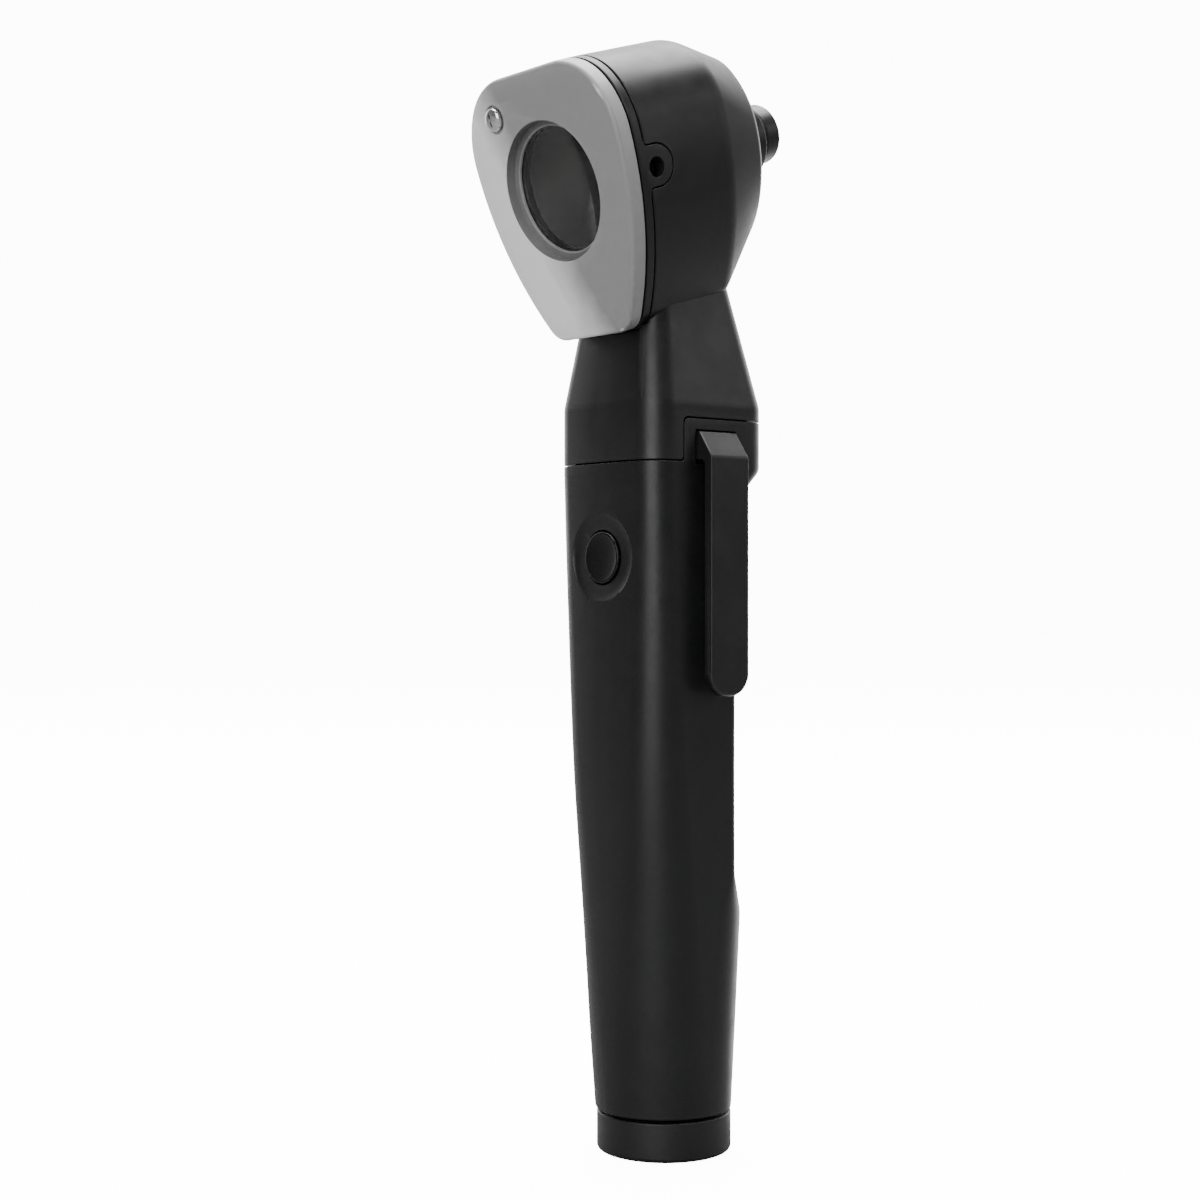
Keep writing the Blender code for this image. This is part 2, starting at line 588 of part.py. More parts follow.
def make_scoop():
    """Cutter for the button's scoop: flat across and fading out above and below."""
    rings = []
    for reach, lift in ((1.03, 3.0), (1.03, 0.35), (1.0, 0.0), (0.66, 0.0), (0.33, 0.0)):
        ring = []
        for y, z in circle(0, 0, SCOOP_RADIUS * reach, 40):
            depth = SCOOP_DEPTH * (1.0 - (z / SCOOP_RADIUS) ** 2) if lift < 0.5 else 0.0
            ring.append((BUTTON_BACK + depth - lift, y, BUTTON_HEIGHT + z))
        rings.append(ring)
    return loft("button_scoop", rings)


def make_handle_shell():
    sections = smooth_path(HANDLE_LOWER, 3) + smooth_path(HANDLE_GRIP, 3) + list(HANDLE_TOP)
    shell = loft("handle_shell", [body_ring(section) for section in sections])
    below = (SHELL_BOTTOM - 3.0, *HANDLE_LOWER[0][1:])
    above = (SEAM_HIGH + 10.0, *HANDLE_TOP[-1][1:])
    inner = [below] + sections + [above]
    cut(shell, loft("handle_cavity", [body_ring(section, SHELL_WALL) for section in inner]))
    cut(shell, plate("seam_above", [seam_outline(-0.15, 140.0)], -30, 30, rotation=(90, 0, 0)))
    scoop = make_scoop()
    hole = cylinder("button_hole", BUTTON_RADIUS + 0.3, 8.0, 16.0, location=(0, 0, BUTTON_HEIGHT),
                    rotation=(0, -90, 0), steps=32)
    slot = box("clip_slot", (CLIP_LEFT - 0.35, -15.0, 113.0), (CLIP_RIGHT + 0.35, -10.5, CLIP_TOP + 0.35))
    cut(shell, scoop, hole, slot)
    finish(shell, BLACK_PLASTIC, 0.5)
    insert = turned("thread_insert", [(8.7, 15.9), (9.35, 15.9), (9.35, 8.9), (8.7, 8.9)], ring=True)
    finish(insert, (0.6, 0.42, 0.18), 0.35, 1.0)


def make_clip():
    root_y, root_z = CLIP_ROOT
    hinge = empty("clip_root", (0.0, root_y, root_z))
    middle = (CLIP_LEFT + CLIP_RIGHT) / 2
    inner = CLIP_FACE + CLIP_THICKNESS
    side = [(-11.5, CLIP_TOP), (-13.4, CLIP_TOP)]
    side += [(CLIP_FACE + away, CLIP_TOP - drop) for away, drop in CLIP_SHOULDER]
    side += [(CLIP_FACE, CLIP_BOTTOM + 0.5), (CLIP_FACE + 0.5, CLIP_BOTTOM)]
    side += [(inner, CLIP_BOTTOM), (inner, 112.5)]
    side += [(inner + 1.2 * (1 - math.cos(a)), 112.5 + 1.2 * math.sin(a))
             for a in (math.radians(30), math.radians(60), math.radians(90))]
    side += [(-11.5, 113.7)]
    shifted = [(y - root_y, z - root_z) for y, z in side]
    clip = plate("pocket_clip", [shifted], CLIP_LEFT, CLIP_RIGHT, hinge, rotation=(90, 0, 90))
    half = (CLIP_RIGHT - CLIP_LEFT) / 2
    front = arc(-half + CLIP_CORNER, CLIP_BOTTOM + CLIP_CORNER, CLIP_CORNER, 180, 270, 8)
    front += arc(half - CLIP_CORNER, CLIP_BOTTOM + CLIP_CORNER, CLIP_CORNER, 270, 360, 8)
    front += [(half, 125.0), (-half, 125.0)]
    front = [(x + middle, z) for x, z in front]
    boolean(clip, plate("clip_front", [front], 5.0, 25.0, rotation=(90, 0, 0)), "INTERSECT")
    finish(clip, BLACK_PLASTIC, 0.45)


def make_switch():
    at = (0.0, 0.0, BUTTON_HEIGHT)
    out = (0, -90, 0)
    face = -BUTTON_FACE
    profile = [(0, face - 0.25), (2.2, face - 0.18), (BUTTON_RADIUS - 0.6, face - 0.02),
               (BUTTON_RADIUS - 0.3, face), (BUTTON_RADIUS, face - 0.3), (BUTTON_RADIUS, 11.24),
               (5.0, 11.24), (5.0, 10.9), (0, 10.9)]
    finish(turned("button_cap", profile, None, at, out, steps=30), (0.008, 0.008, 0.008), 0.25)
    finish(cylinder("switch_plunger", 1.1, 9.95, 10.6, None, at, out, 16), (0.3, 0.3, 0.3), 0.4)
    body = box("tact_switch", (-10.3, -3.0, BUTTON_HEIGHT - 3.0), (-9.5, 3.0, BUTTON_HEIGHT + 3.0))
    cut(body, cylinder("switch_bore", 1.4, 9.0, 11.0, None, at, out, 16))
    finish(body, (0.4, 0.4, 0.4), 0.35, 0.8)
    finish(box("circuit_board", (-9.2, -6.0, 85.0), (-8.5, 6.0, 104.0)), (0.02, 0.12, 0.05), 0.5)
    finish(box("driver_chip", (-10.5, -2.0, 87.0), (-9.5, 2.0, 91.0)), (0.02, 0.02, 0.02), 0.4)
    coil = turned("inductor", [(0, 11.0), (2.0, 11.0), (2.0, 9.5), (0, 9.5)], None,
                  (0, -4.4, 90.0), out, steps=20)
    finish(coil, (0.1, 0.1, 0.1), 0.5)
    finish(box("capacitor", (-10.7, 3.2, 87.0), (-9.5, 5.2, 90.5)), (0.45, 0.3, 0.15), 0.5)


def make_battery(name, bottom):
    top = bottom + BATTERY_LENGTH
    body = BATTERY_RADIUS
    profile = [(0, top), (2.6, top), (2.6, top - 1.3), (body - 0.5, top - 1.3), (body, top - 1.8),
               (body, bottom + 0.5), (body - 0.5, bottom), (0, bottom)]
    finish(turned(name, profile, steps=28), (0.25, 0.25, 0.27), 0.35, 0.7)


def make_power():
    upper_bottom = BATTERY_BOTTOM + BATTERY_LENGTH + GAP
    make_battery("battery_lower", BATTERY_BOTTOM)
    make_battery("battery_upper", upper_bottom)
    contact_low = upper_bottom + BATTERY_LENGTH + GAP
    tube = [(1.2, TUBE_TOP), (TUBE_OUTER, TUBE_TOP), (TUBE_OUTER, TUBE_BOTTOM),
            (TUBE_INNER, TUBE_BOTTOM), (TUBE_INNER, TUBE_TOP - 1.0), (1.2, TUBE_TOP - 1.0)]
    finish(turned("battery_tube", tube, steps=32, ring=True), (0.03, 0.03, 0.03), 0.6)
    contact = [(0, 112.3), (0.85, 112.3), (0.85, contact_low + 0.4), (4.0, contact_low + 0.4),
               (4.0, contact_low), (0, contact_low)]
    finish(turned("positive_contact", contact, steps=24), (0.7, 0.6, 0.4), 0.3, 1.0)
    finish(box("contact_strip", (-1.5, 8.5, 16.2), (1.5, 8.8, 104.0)), (0.7, 0.7, 0.7), 0.3, 1.0)


def make_cap():
    rim = [(CAP_RADIUS - 0.2, CAP_HEIGHT), (CAP_RADIUS, CAP_HEIGHT - 0.2)]
    edge = [(CAP_RADIUS - CAP_EDGE + CAP_EDGE * math.cos(a), CAP_EDGE - CAP_EDGE * math.sin(a))
            for a in (0.0, math.radians(30), math.radians(60), math.radians(90))]
    spigot = [(0, CAP_FLOOR), (CAP_BORE, CAP_FLOOR), (CAP_BORE, SPIGOT_TOP),
              (SPIGOT_RADIUS - 0.3, SPIGOT_TOP), (SPIGOT_RADIUS, SPIGOT_TOP - 0.3),
              (SPIGOT_RADIUS, CAP_HEIGHT)]
    profile = spigot + rim + edge + [(0, 0)]
    finish(turned("battery_cap", profile, steps=44), BLACK_PLASTIC, 0.5)
    seal = [(9.0 + 0.35 * math.cos(math.radians(a)), 7.5 + 0.35 * math.sin(math.radians(a)))
            for a in range(90, -270, -60)]
    finish(turned("cap_oring", seal, ring=True, steps=28), (0.01, 0.01, 0.01), 0.7)
    disc = [(0, 3.2), (6.9, 3.2), (6.9, 2.8), (0, 2.8)]
    finish(turned("cap_contact_plate", disc, steps=28), (0.7, 0.7, 0.7), 0.3, 1.0)
    turns, points_per_turn = 3.5, 11
    count = int(turns * points_per_turn)
    coil = []
    for i in range(count + 1):
        t = i / count
        angle = 2 * math.pi * turns * t
        radius = 5.8 - 2.4 * t
        coil.append((radius * math.cos(angle), radius * math.sin(angle), 3.95 + 3.7 * t))
    finish(wire("cap_spring", coil, 0.4), (0.7, 0.7, 0.7), 0.25, 1.0)


make_lens_frame()
make_pivot_hardware()
make_bezel()
make_head_shell()
make_viewing_parts()
make_light()
make_handle_shell()
make_clip()
make_switch()
make_power()
make_cap()
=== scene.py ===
"""Looks of the pocket otoscope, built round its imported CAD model.

Lengths are in millimetres and become metres through MM. Head pieces are made in the head's own frame,
where z is the depth d behind the magnifier plate's front face and -x points up the plate.
"""
import math

import bmesh
import bpy
from mathutils import Matrix, Vector


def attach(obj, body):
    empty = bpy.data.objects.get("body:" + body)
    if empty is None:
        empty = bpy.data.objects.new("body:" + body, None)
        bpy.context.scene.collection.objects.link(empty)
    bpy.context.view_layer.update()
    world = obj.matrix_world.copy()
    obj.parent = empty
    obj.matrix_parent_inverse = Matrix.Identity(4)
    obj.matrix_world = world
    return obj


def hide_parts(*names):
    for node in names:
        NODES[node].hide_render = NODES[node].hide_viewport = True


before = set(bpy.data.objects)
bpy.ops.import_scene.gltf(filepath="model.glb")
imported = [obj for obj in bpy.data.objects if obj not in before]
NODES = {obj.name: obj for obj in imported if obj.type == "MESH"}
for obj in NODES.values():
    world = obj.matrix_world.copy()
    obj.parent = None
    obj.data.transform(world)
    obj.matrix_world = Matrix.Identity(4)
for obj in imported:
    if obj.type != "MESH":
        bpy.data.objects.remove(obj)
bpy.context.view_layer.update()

MM = 0.001

# --- dimensions shared with the CAD --------------------------------------------------------------

FACET_ANGLE = 36.0
FACET_EASE = 2.0
BACK_TILT = 6.0         # looks only: slope of the crowned back at its corners; the CAD's back is flat
# height, back, front, half width, back radius, front radius, side radius, facet distance
HANDLE_LOWER = (
    (7.05, -11.45, 11.05, 11.25, 11.2, 11.0, 11.0, 11.187),
    (25.0, -12.15, 11.4, 11.95, 10.7, 10.7, 10.7, 12.001),
    (39.5, -12.4, 11.55, 12.2, 9.4, 9.8, 9.8, 12.627),
)
HANDLE_GRIP = (
    (46.3, -12.6, 10.9, 12.3, 8.9, 4.0, 1.4, 11.12),
    (65.0, -13.05, 10.8, 12.6, 7.3, 4.0, 1.4, 11.05),
    (85.0, -13.15, 10.8, 12.85, 6.1, 4.0, 1.4, 11.1),
    (107.2, -13.35, 10.9, 13.0, 5.1, 4.0, 1.4, 11.25),
)
HANDLE_TOP = (
    (112.4, -13.45, 12.36, 13.0, 5.0, 5.0, 5.0, 15.657),
    (124.0, -13.45, 12.36, 13.0, 5.0, 5.0, 5.0, 15.657),
)
NECK = (
    (111.0, -13.45, 12.36, 13.0, 5.0, 5.0, 5.0, 15.657),
    (122.8, -13.45, 12.36, 13.0, 5.0, 5.0, 5.0, 15.657),
    (150.0, -9.65, 6.15, 8.1, 3.6, 3.6, 3.6, 8.308),
)
SHELL_WALL = 1.6
NECK_WALL = 1.7
SEAM_LOW, SEAM_HIGH, SEAM_STEP_X = 113.4, 120.4, -6.9
BUTTON_HEIGHT, BUTTON_RADIUS, BUTTON_FACE = 98.0, 4.25, 13.45
BUTTON_BACK, SCOOP_RADIUS = -13.28, 7.4
SCOOP_DEPTH, SCOOP_RISE = 0.75, 0.38    # looks only: the scoop follows the crowned back
CLIP_LEFT, CLIP_RIGHT, CLIP_FACE, CLIP_THICKNESS = -4.1, 4.0, -16.5, 1.7
CLIP_TOP, CLIP_BOTTOM, CLIP_CORNER = 118.2, 75.6, 3.5
# looks only: a straight facet, as steps in from the face and down; the CAD's shoulder is rounded
CLIP_SHOULDER = ((3.1, 0.0), (2.9, 0.1), (0.22, 3.85), (0.05, 4.12), (0.0, 4.4))
CAP_RADIUS, CAP_HEIGHT, CAP_BORE, CAP_FLOOR = 11.15, 6.5, 7.6, 2.5
SPIGOT_RADIUS, SPIGOT_TOP = 8.4, 13.5

HEAD_TILT = 19.0
LENS_CENTRE = (-23.5, 0.0, 156.24)
HEAD = Matrix.Translation(LENS_CENTRE) @ Matrix.Rotation(math.radians(90.0 - HEAD_TILT), 4, "Y")
ARC_ENDS = (0.0, 54.0, 90.0, 122.3, 180.0)
ARC_STEPS = (12, 9, 12, 10)
# depth, top, half flat at the top, then the radii of four arcs from top to bottom
BASE = (5.3, 19.35, 7.15, 10.7, 14.0, 54.0, 4.0)
CREASE = (22.8, 19.0, 6.3, 12.6, 11.0, 54.9, 4.0)
RIM = (32.0, 14.5, 7.1, 7.6, 15.3, 24.8, 14.4)
FRONT = (38.5, 7.7, 0.6, 7.4, 7.4, 7.4, 7.4)
HEAD_WALL = 1.9
NOSE_RADIUS, NOSE_END, NOSE_BORE = 7.1, 42.6, 5.5
PLATE_BACK, BEZEL_FRONT, BEZEL_BACK = 3.2, 3.5, 5.0
LENS_RADIUS = 11.3
PIVOT = (9.8, 13.3)
PIVOT_HEAD = 1.95
PORT_D, PORT_RADIUS, TAB_RADIUS, TAB_D = 6.9, 1.6, 3.15, 7.1
BEZEL_SCREWS = ((13.9, 10.9), (-9.5, -16.0), (9.5, -16.0))
HOLDER_END = 47.95


# --- mesh building -------------------------------------------------------------------------------

def mesh_object(name, points, faces, matrix=None):
    """A mesh from points in millimetres, with its faces turned outwards."""
    work = bmesh.new()
    corners = [work.verts.new((matrix @ Vector(p) if matrix else Vector(p)) * MM) for p in points]
    for face in faces:
        work.faces.new([corners[i] for i in face])
    bmesh.ops.recalc_face_normals(work, faces=work.faces)
    mesh = bpy.data.meshes.new(name)
    work.to_mesh(mesh)
    work.free()
    obj = bpy.data.objects.new(name, mesh)
    bpy.context.scene.collection.objects.link(obj)
    return obj


def loft(name, rings, matrix=None):
    """Skin closed rings of equal length and cap both ends."""
    count, rows = len(rings[0]), len(rings)
    points = [point for ring in rings for point in ring]
    faces = []
    for row in range(rows - 1):
        low, high = row * count, (row + 1) * count
        for i in range(count):
            j = (i + 1) % count
            faces.append((low + i, low + j, high + j, high + i))
    faces.append(tuple(range(count)))
    faces.append(tuple(range((rows - 1) * count, rows * count)))
    return mesh_object(name, points, faces, matrix)


def turned(name, profile, matrix=None, steps=96, closed=False):
    """Turn (radius, height) points about local z; a radius of 0 makes a pole."""
    points, rows, faces = [], [], []
    for radius, height in profile:
        if radius == 0:
            rows.append([len(points)] * steps)
            points.append((0.0, 0.0, height))
        else:
            rows.append(list(range(len(points), len(points) + steps)))
            angles = [2 * math.pi * i / steps for i in range(steps)]
            points += [(radius * math.cos(a), radius * math.sin(a), height) for a in angles]
    pairs = list(zip(rows, rows[1:])) + ([(rows[-1], rows[0])] if closed else [])
    for a, b in pairs:
        for i in range(steps):
            j = (i + 1) % steps
            corners = list(dict.fromkeys((a[i], a[j], b[j], b[i])))
            if len(corners) > 2:
                faces.append(corners)
    return mesh_object(name, points, faces, matrix)


def extruded(name, outline, low, high, matrix=None, edge=0.0, steps=4):
    """Extrude an outline along local z, with rounded edges where its points give their normals."""
    rings = []
    for base, sign in ((low, 1.0), (high, -1.0)):
        ends = range(steps + 1) if edge else (0,)
        part = []
        for k in ends:
            a = math.pi / 2 * k / steps
            inset, lift = edge * (1 - math.sin(a)), edge * (1 - math.cos(a))
            part.append([(x, y, base + sign * lift) for x, y in inset_outline(outline, inset)])
        rings += part if sign > 0 else part[::-1]
    return loft(name, rings, matrix)


def inset_outline(outline, inset):
    """Draw a closed outline in by a small amount along its corner normals."""
    if not inset:
        return outline
    area = sum(a[0] * b[1] - b[0] * a[1] for a, b in zip(outline, outline[1:] + outline[:1]))
    side = 1.0 if area > 0 else -1.0
    drawn = []
    for i, point in enumerate(outline):
        before = Vector(point) - Vector(outline[i - 1])
        after = Vector(outline[(i + 1) % len(outline)]) - Vector(point)
        before, after = before.normalized(), after.normalized()
        normal = Vector((-(before.y + after.y), before.x + after.x)).normalized()
        lengthening = max(normal.dot(Vector((-before.y, before.x))), 0.5)
        drawn.append(tuple(Vector(point) + normal * side * inset / lengthening))
    return drawn


def combine(obj, operation, *tools):
    """Apply Booleans with the tools and delete them."""
    for tool in tools:
        modifier = obj.modifiers.new("combine", "BOOLEAN")
        modifier.operation = operation
        modifier.solver = "EXACT"
        modifier.object = tool
        graph = bpy.context.evaluated_depsgraph_get()
        result = bpy.data.meshes.new_from_object(obj.evaluated_get(graph))
        obj.modifiers.clear()
        old = obj.data
        obj.data = result
        bpy.data.meshes.remove(old)
        bpy.data.objects.remove(tool, do_unlink=True)
    return obj


def cut(obj, *tools):
    return combine(obj, "DIFFERENCE", *tools)


def join(obj, *tools):
    return combine(obj, "UNION", *tools)


def tidy(obj, sharp):
    """Weld what a Boolean left, and smooth the shading between its sharp edges."""
    work = bmesh.new()
    work.from_mesh(obj.data)
    bmesh.ops.remove_doubles(work, verts=work.verts, dist=0.000002)
    bmesh.ops.dissolve_degenerate(work, edges=work.edges, dist=0.000002)
    work.to_mesh(obj.data)
    work.free()
    obj.data.shade_smooth()
    obj.data.set_sharp_from_angle(angle=math.radians(sharp))
    modifier = obj.modifiers.new("normals", "WEIGHTED_NORMAL")
    modifier.keep_sharp = True


def arc(x, y, radius, start, end, steps):
    angles = [math.radians(start + (end - start) * i / steps) for i in range(steps + 1)]
    return [(x + radius * math.cos(a), y + radius * math.sin(a)) for a in angles]


def circle(x, y, radius, steps=64):
    return arc(x, y, radius, 0.0, 360.0, steps)[:-1]


def mix(a, b, t):
    return tuple(x + (y - x) * t for x, y in zip(a, b))


def smooth(knots, per_span):
    """Catmull-Rom through tuples of any length."""
    ends = [knots[0], *knots, knots[-1]]
    out = []
    for a, b, c, d in zip(ends, ends[1:], ends[2:], ends[3:]):
        for i in range(per_span):
            t = i / per_span
            out.append(tuple(
                0.5 * (2 * q + (r - p) * t + (2 * p - 5 * q + 4 * r - s) * t * t
                       + (3 * q - p - 3 * r + s) * t ** 3)
                for p, q, r, s in zip(a, b, c, d)))
    return out + [tuple(knots[-1])]


def eased(sections, corners, steps=6):
    """Round the run of sections at the indices in corners, by a reach along their first number."""
    out = []
    for i, here in enumerate(sections):
        if i not in corners:
            out.append(here)
            continue
        before, after = sections[i - 1], sections[i + 1]
        start = mix(here, before, corners[i] / abs(here[0] - before[0]))
        end = mix(here, after, corners[i] / abs(after[0] - here[0]))
        for k in range(steps + 1):
            t = k / steps
            out.append(mix(mix(start, here, t), mix(here, end, t), t))
    return out


# --- sections ------------------------------------------------------------------------------------

def body_ring(section, inset=0.0):
    """A ring of the handle or neck: a crowned back, rounded back corners and faceted front corners."""
    z, back, front, half, back_radius, front_radius, side_radius, facet = section
    back, front, half, facet = back + inset, front - inset, half - inset, facet - inset
    rb, rf, rs = (max(r - inset, 0.5) for r in (back_radius, front_radius, side_radius))
    along, across = math.cos(math.radians(FACET_ANGLE)), math.sin(math.radians(FACET_ANGLE))
    front_y = (facet - rf - along * (front - rf)) / across
    side_x = (facet - rs - across * (half - rs)) / along
    left = arc(front - rf, front_y, rf, 0, FACET_ANGLE - FACET_EASE, 7)
    left += arc(side_x, half - rs, rs, FACET_ANGLE + FACET_EASE, 90, 9)
    left += arc(back + rb, half - rb, rb, 90, 180 - BACK_TILT, 16)
    (edge_x, edge_y), tilt = left[-1], math.radians(BACK_TILT)
    crown = edge_y / math.sin(tilt)
    for k in range(1, 6):
        a = tilt * (1 - k / 6)
        left.append((edge_x + crown * (math.cos(tilt) - math.cos(a)), crown * math.sin(a)))
    return [(x, y, z) for x, y in left + [(x, -y) for x, y in reversed(left)]]


def head_outline(section, inset=0.0):
    """Closed outline of a head section, as (x, y) in the head's frame."""
    _, top, flat, *radii = section
    p, q = flat, top - inset
    half = []
    for radius, start, end, count in zip(radii, ARC_ENDS, ARC_ENDS[1:], ARC_STEPS):
        r = radius - inset
        a = math.radians(start)
        centre_p, centre_q = p - r * math.sin(a), q - r * math.cos(a)
        for i in range(count + 1):
            a = math.radians(start + (end - start) * i / count)
            p, q = centre_p + r * math.sin(a), centre_q + r * math.cos(a)
            if i > 0 or not half:
                half.append((p, q))
    right = [(-q, -p) for p, q in half]
    return right + [(x, -y) for x, y in reversed(right)]


def head_ring(section, inset=0.0, depth=None):
    d = section[0] if depth is None else depth
    return [(x, y, d) for x, y in head_outline(section, inset)]


def rises(a, b):
    """How fast each value changes with height between two knots."""
    return tuple((y - x) / (b[0] - a[0]) for x, y in zip(a[1:], b[1:]))


def flowing(z, knots):
    """Height z on a curve without kinks or overshoot through knots of (height, values...)."""
    slopes = [rises(a, b) for a, b in zip(knots, knots[1:])]
    rates = [slopes[0]]
    for before, after in zip(slopes, slopes[1:]):
        rates.append(tuple(2 * p * q / (p + q) if p * q > 0 else 0.0 for p, q in zip(before, after)))
    rates.append(slopes[-1])
    i = max(k for k in range(len(knots) - 1) if k == 0 or knots[k][0] <= z)
    span = knots[i + 1][0] - knots[i][0]
    t = (z - knots[i][0]) / span
    return tuple(
        (2 * t ** 3 - 3 * t * t + 1) * a + (t ** 3 - 2 * t * t + t) * span * m
        + (3 * t * t - 2 * t ** 3) * b + (t ** 3 - t * t) * span * n
        for a, b, m, n in zip(knots[i][1:], knots[i + 1][1:], rates[i], rates[i + 1]))


def handle_sections():
    """The grip's facets have definite ends; the back and the sides run through smoothly."""
    lower, grip = smooth(HANDLE_LOWER, 8), smooth(HANDLE_GRIP, 8)
    low_end, grip_end = len(lower) - 1, len(lower) + len(grip) - 1
    run = lower + grip + list(HANDLE_TOP)
    run = eased(run, {low_end: 1.0, low_end + 1: 0.8, grip_end: 1.0, grip_end + 1: 0.7})
    knots = [(s[0], s[1], s[3], s[4]) for s in HANDLE_LOWER + HANDLE_GRIP[1:] + HANDLE_TOP]
    out = []
    for z, _, front, _, _, front_radius, side_radius, facet in run:
        back, half, back_radius = flowing(z, knots)
        out.append((z, back, front, half, back_radius, front_radius, side_radius, facet))
    return out


def seam_outline(shift, top):
    """The stepped joint between neck and handle in XZ, closed far above or below."""
    low, high, x = SEAM_LOW + shift, SEAM_HIGH + shift, SEAM_STEP_X - shift
    line = [(-30.0, low)] + arc(x - 0.6, low + 0.6, 0.6, -90, 0, 6)
    line += arc(x + 1.0, high - 1.0, 1.0, 180, 90, 8) + [(30.0, high)]
    return line + [(30.0, top), (-30.0, top)]


SIDEWAYS = Matrix.Rotation(math.radians(90.0), 4, "X")      # local x, y, z to world x, z, -y
BACKWARDS = Matrix.Rotation(math.radians(-90.0), 4, "Y")    # local z to world -x


# --- materials -----------------------------------------------------------------------------------

class Surface:
    """A Principled material with short calls for the procedural detail that feeds it."""

    def __init__(self, name, **values):
        self.material = bpy.data.materials.new(name)
        self.material.use_nodes = True
        self.tree = self.material.node_tree
        self.shader = self.tree.nodes["Principled BSDF"]
        for key, value in values.items():
            self.shader.inputs[key.replace("_", " ")].default_value = value
        self.coords = self.node("ShaderNodeTexCoord").outputs["Object"]

    def node(self, kind, **settings):
        node = self.tree.nodes.new(kind)
        for key, value in settings.items():
            setattr(node, key, value)
        return node

    def link(self, source, target):
        self.tree.links.new(source, target)

    def noise(self, scale_mm, detail=3.0, stretch=(1, 1, 1), distortion=0.0):
        """Noise whose cells are about scale_mm across."""
        mapping = self.node("ShaderNodeMapping")
        mapping.inputs["Scale"].default_value = stretch
        self.link(self.coords, mapping.inputs["Vector"])
        noise = self.node("ShaderNodeTexNoise")
        noise.inputs["Scale"].default_value = 1000.0 / scale_mm
        noise.inputs["Detail"].default_value = detail
        noise.inputs["Distortion"].default_value = distortion
        self.link(mapping.outputs["Vector"], noise.inputs["Vector"])
        return noise.outputs["Fac"]

    def cells(self, scale_mm, feature="F1"):
        cells = self.node("ShaderNodeTexVoronoi", feature=feature)
        cells.inputs["Scale"].default_value = 1000.0 / scale_mm
        self.link(self.coords, cells.inputs["Vector"])
        return cells.outputs["Distance"]

    def spread(self, source, low, high, start=0.3, end=0.7):
        """Map a value onto low..high."""
        ramp = self.node("ShaderNodeMapRange")
        for key, value in (("From Min", start), ("From Max", end), ("To Min", low), ("To Max", high)):
            ramp.inputs[key].default_value = value
        self.link(source, ramp.inputs["Value"])
        return ramp.outputs["Result"]

    def blend(self, factor, first, second):
        """Blend two colours, or a colour socket and a colour."""
        mixer = self.node("ShaderNodeMix", data_type="RGBA")
        self.link(factor, mixer.inputs["Factor"])
        for value, socket in ((first, mixer.inputs[6]), (second, mixer.inputs[7])):
            if isinstance(value, tuple):
                socket.default_value = (*value, 1.0)
            else:
                self.link(value, socket)
        return mixer.outputs[2]

    def combine(self, operation, first, second):
        maths = self.node("ShaderNodeMath", operation=operation)
        for value, socket in ((first, maths.inputs[0]), (second, maths.inputs[1])):
            if isinstance(value, (int, float)):
                socket.default_value = value
            else:
                self.link(value, socket)
        return maths.outputs[0]

    def worn_edges(self):
        """1 along convex edges, 0 elsewhere."""
        return self.spread(self.node("ShaderNodeNewGeometry").outputs["Pointiness"], 0.0, 1.0, 0.53, 0.62)

    def relief(self, *layers, round_edges=0.0):
        """Bump layers of (height, depth in mm, strength), over edges rounded by a radius in mm."""
        normal = None
        if round_edges:
            soft = self.node("ShaderNodeBevel", samples=4)
            soft.inputs["Radius"].default_value = round_edges * MM
            normal = soft.outputs["Normal"]
        for height, depth, strength in layers:
            bump = self.node("ShaderNodeBump")
            bump.inputs["Strength"].default_value = strength
            bump.inputs["Distance"].default_value = depth * MM
            self.link(height, bump.inputs["Height"])
            if normal:
                self.link(normal, bump.inputs["Normal"])
            normal = bump.outputs["Normal"]
        self.link(normal, self.shader.inputs["Normal"])

    def colour(self, source):
        self.link(source, self.shader.inputs["Base Color"])

    def roughness(self, source):
        self.link(source, self.shader.inputs["Roughness"])


def moulded(name, dark, light, rough=(0.33, 0.43), depth=0.012, specular=0.4, edges=0.12):
    """Moulded plastic: fine spark-eroded grain, patchy sheen and slightly polished edges."""
    s = Surface(name)
    s.shader.inputs["Specular IOR Level"].default_value = specular
    broad, fine = s.noise(9.0, 4.0), s.noise(0.16, 2.0)
    base = s.blend(s.spread(broad, 0.0, 1.0), dark, light)
    speck = s.spread(s.noise(0.35, 2.0), 0.0, 0.35, 0.6, 0.75)
    base = s.blend(speck, base, tuple(1.25 * c for c in light))
    s.colour(s.blend(s.combine("MULTIPLY", s.worn_edges(), 0.5), base, (0.03, 0.03, 0.031)))
    patchy = s.spread(s.noise(5.0, 5.0, distortion=0.6), rough[0], rough[1])
    s.roughness(s.combine("ADD", patchy, s.spread(fine, -0.03, 0.03)))
    s.relief((fine, depth, 0.5), (broad, 0.02, 0.15), round_edges=edges)
    return s.material


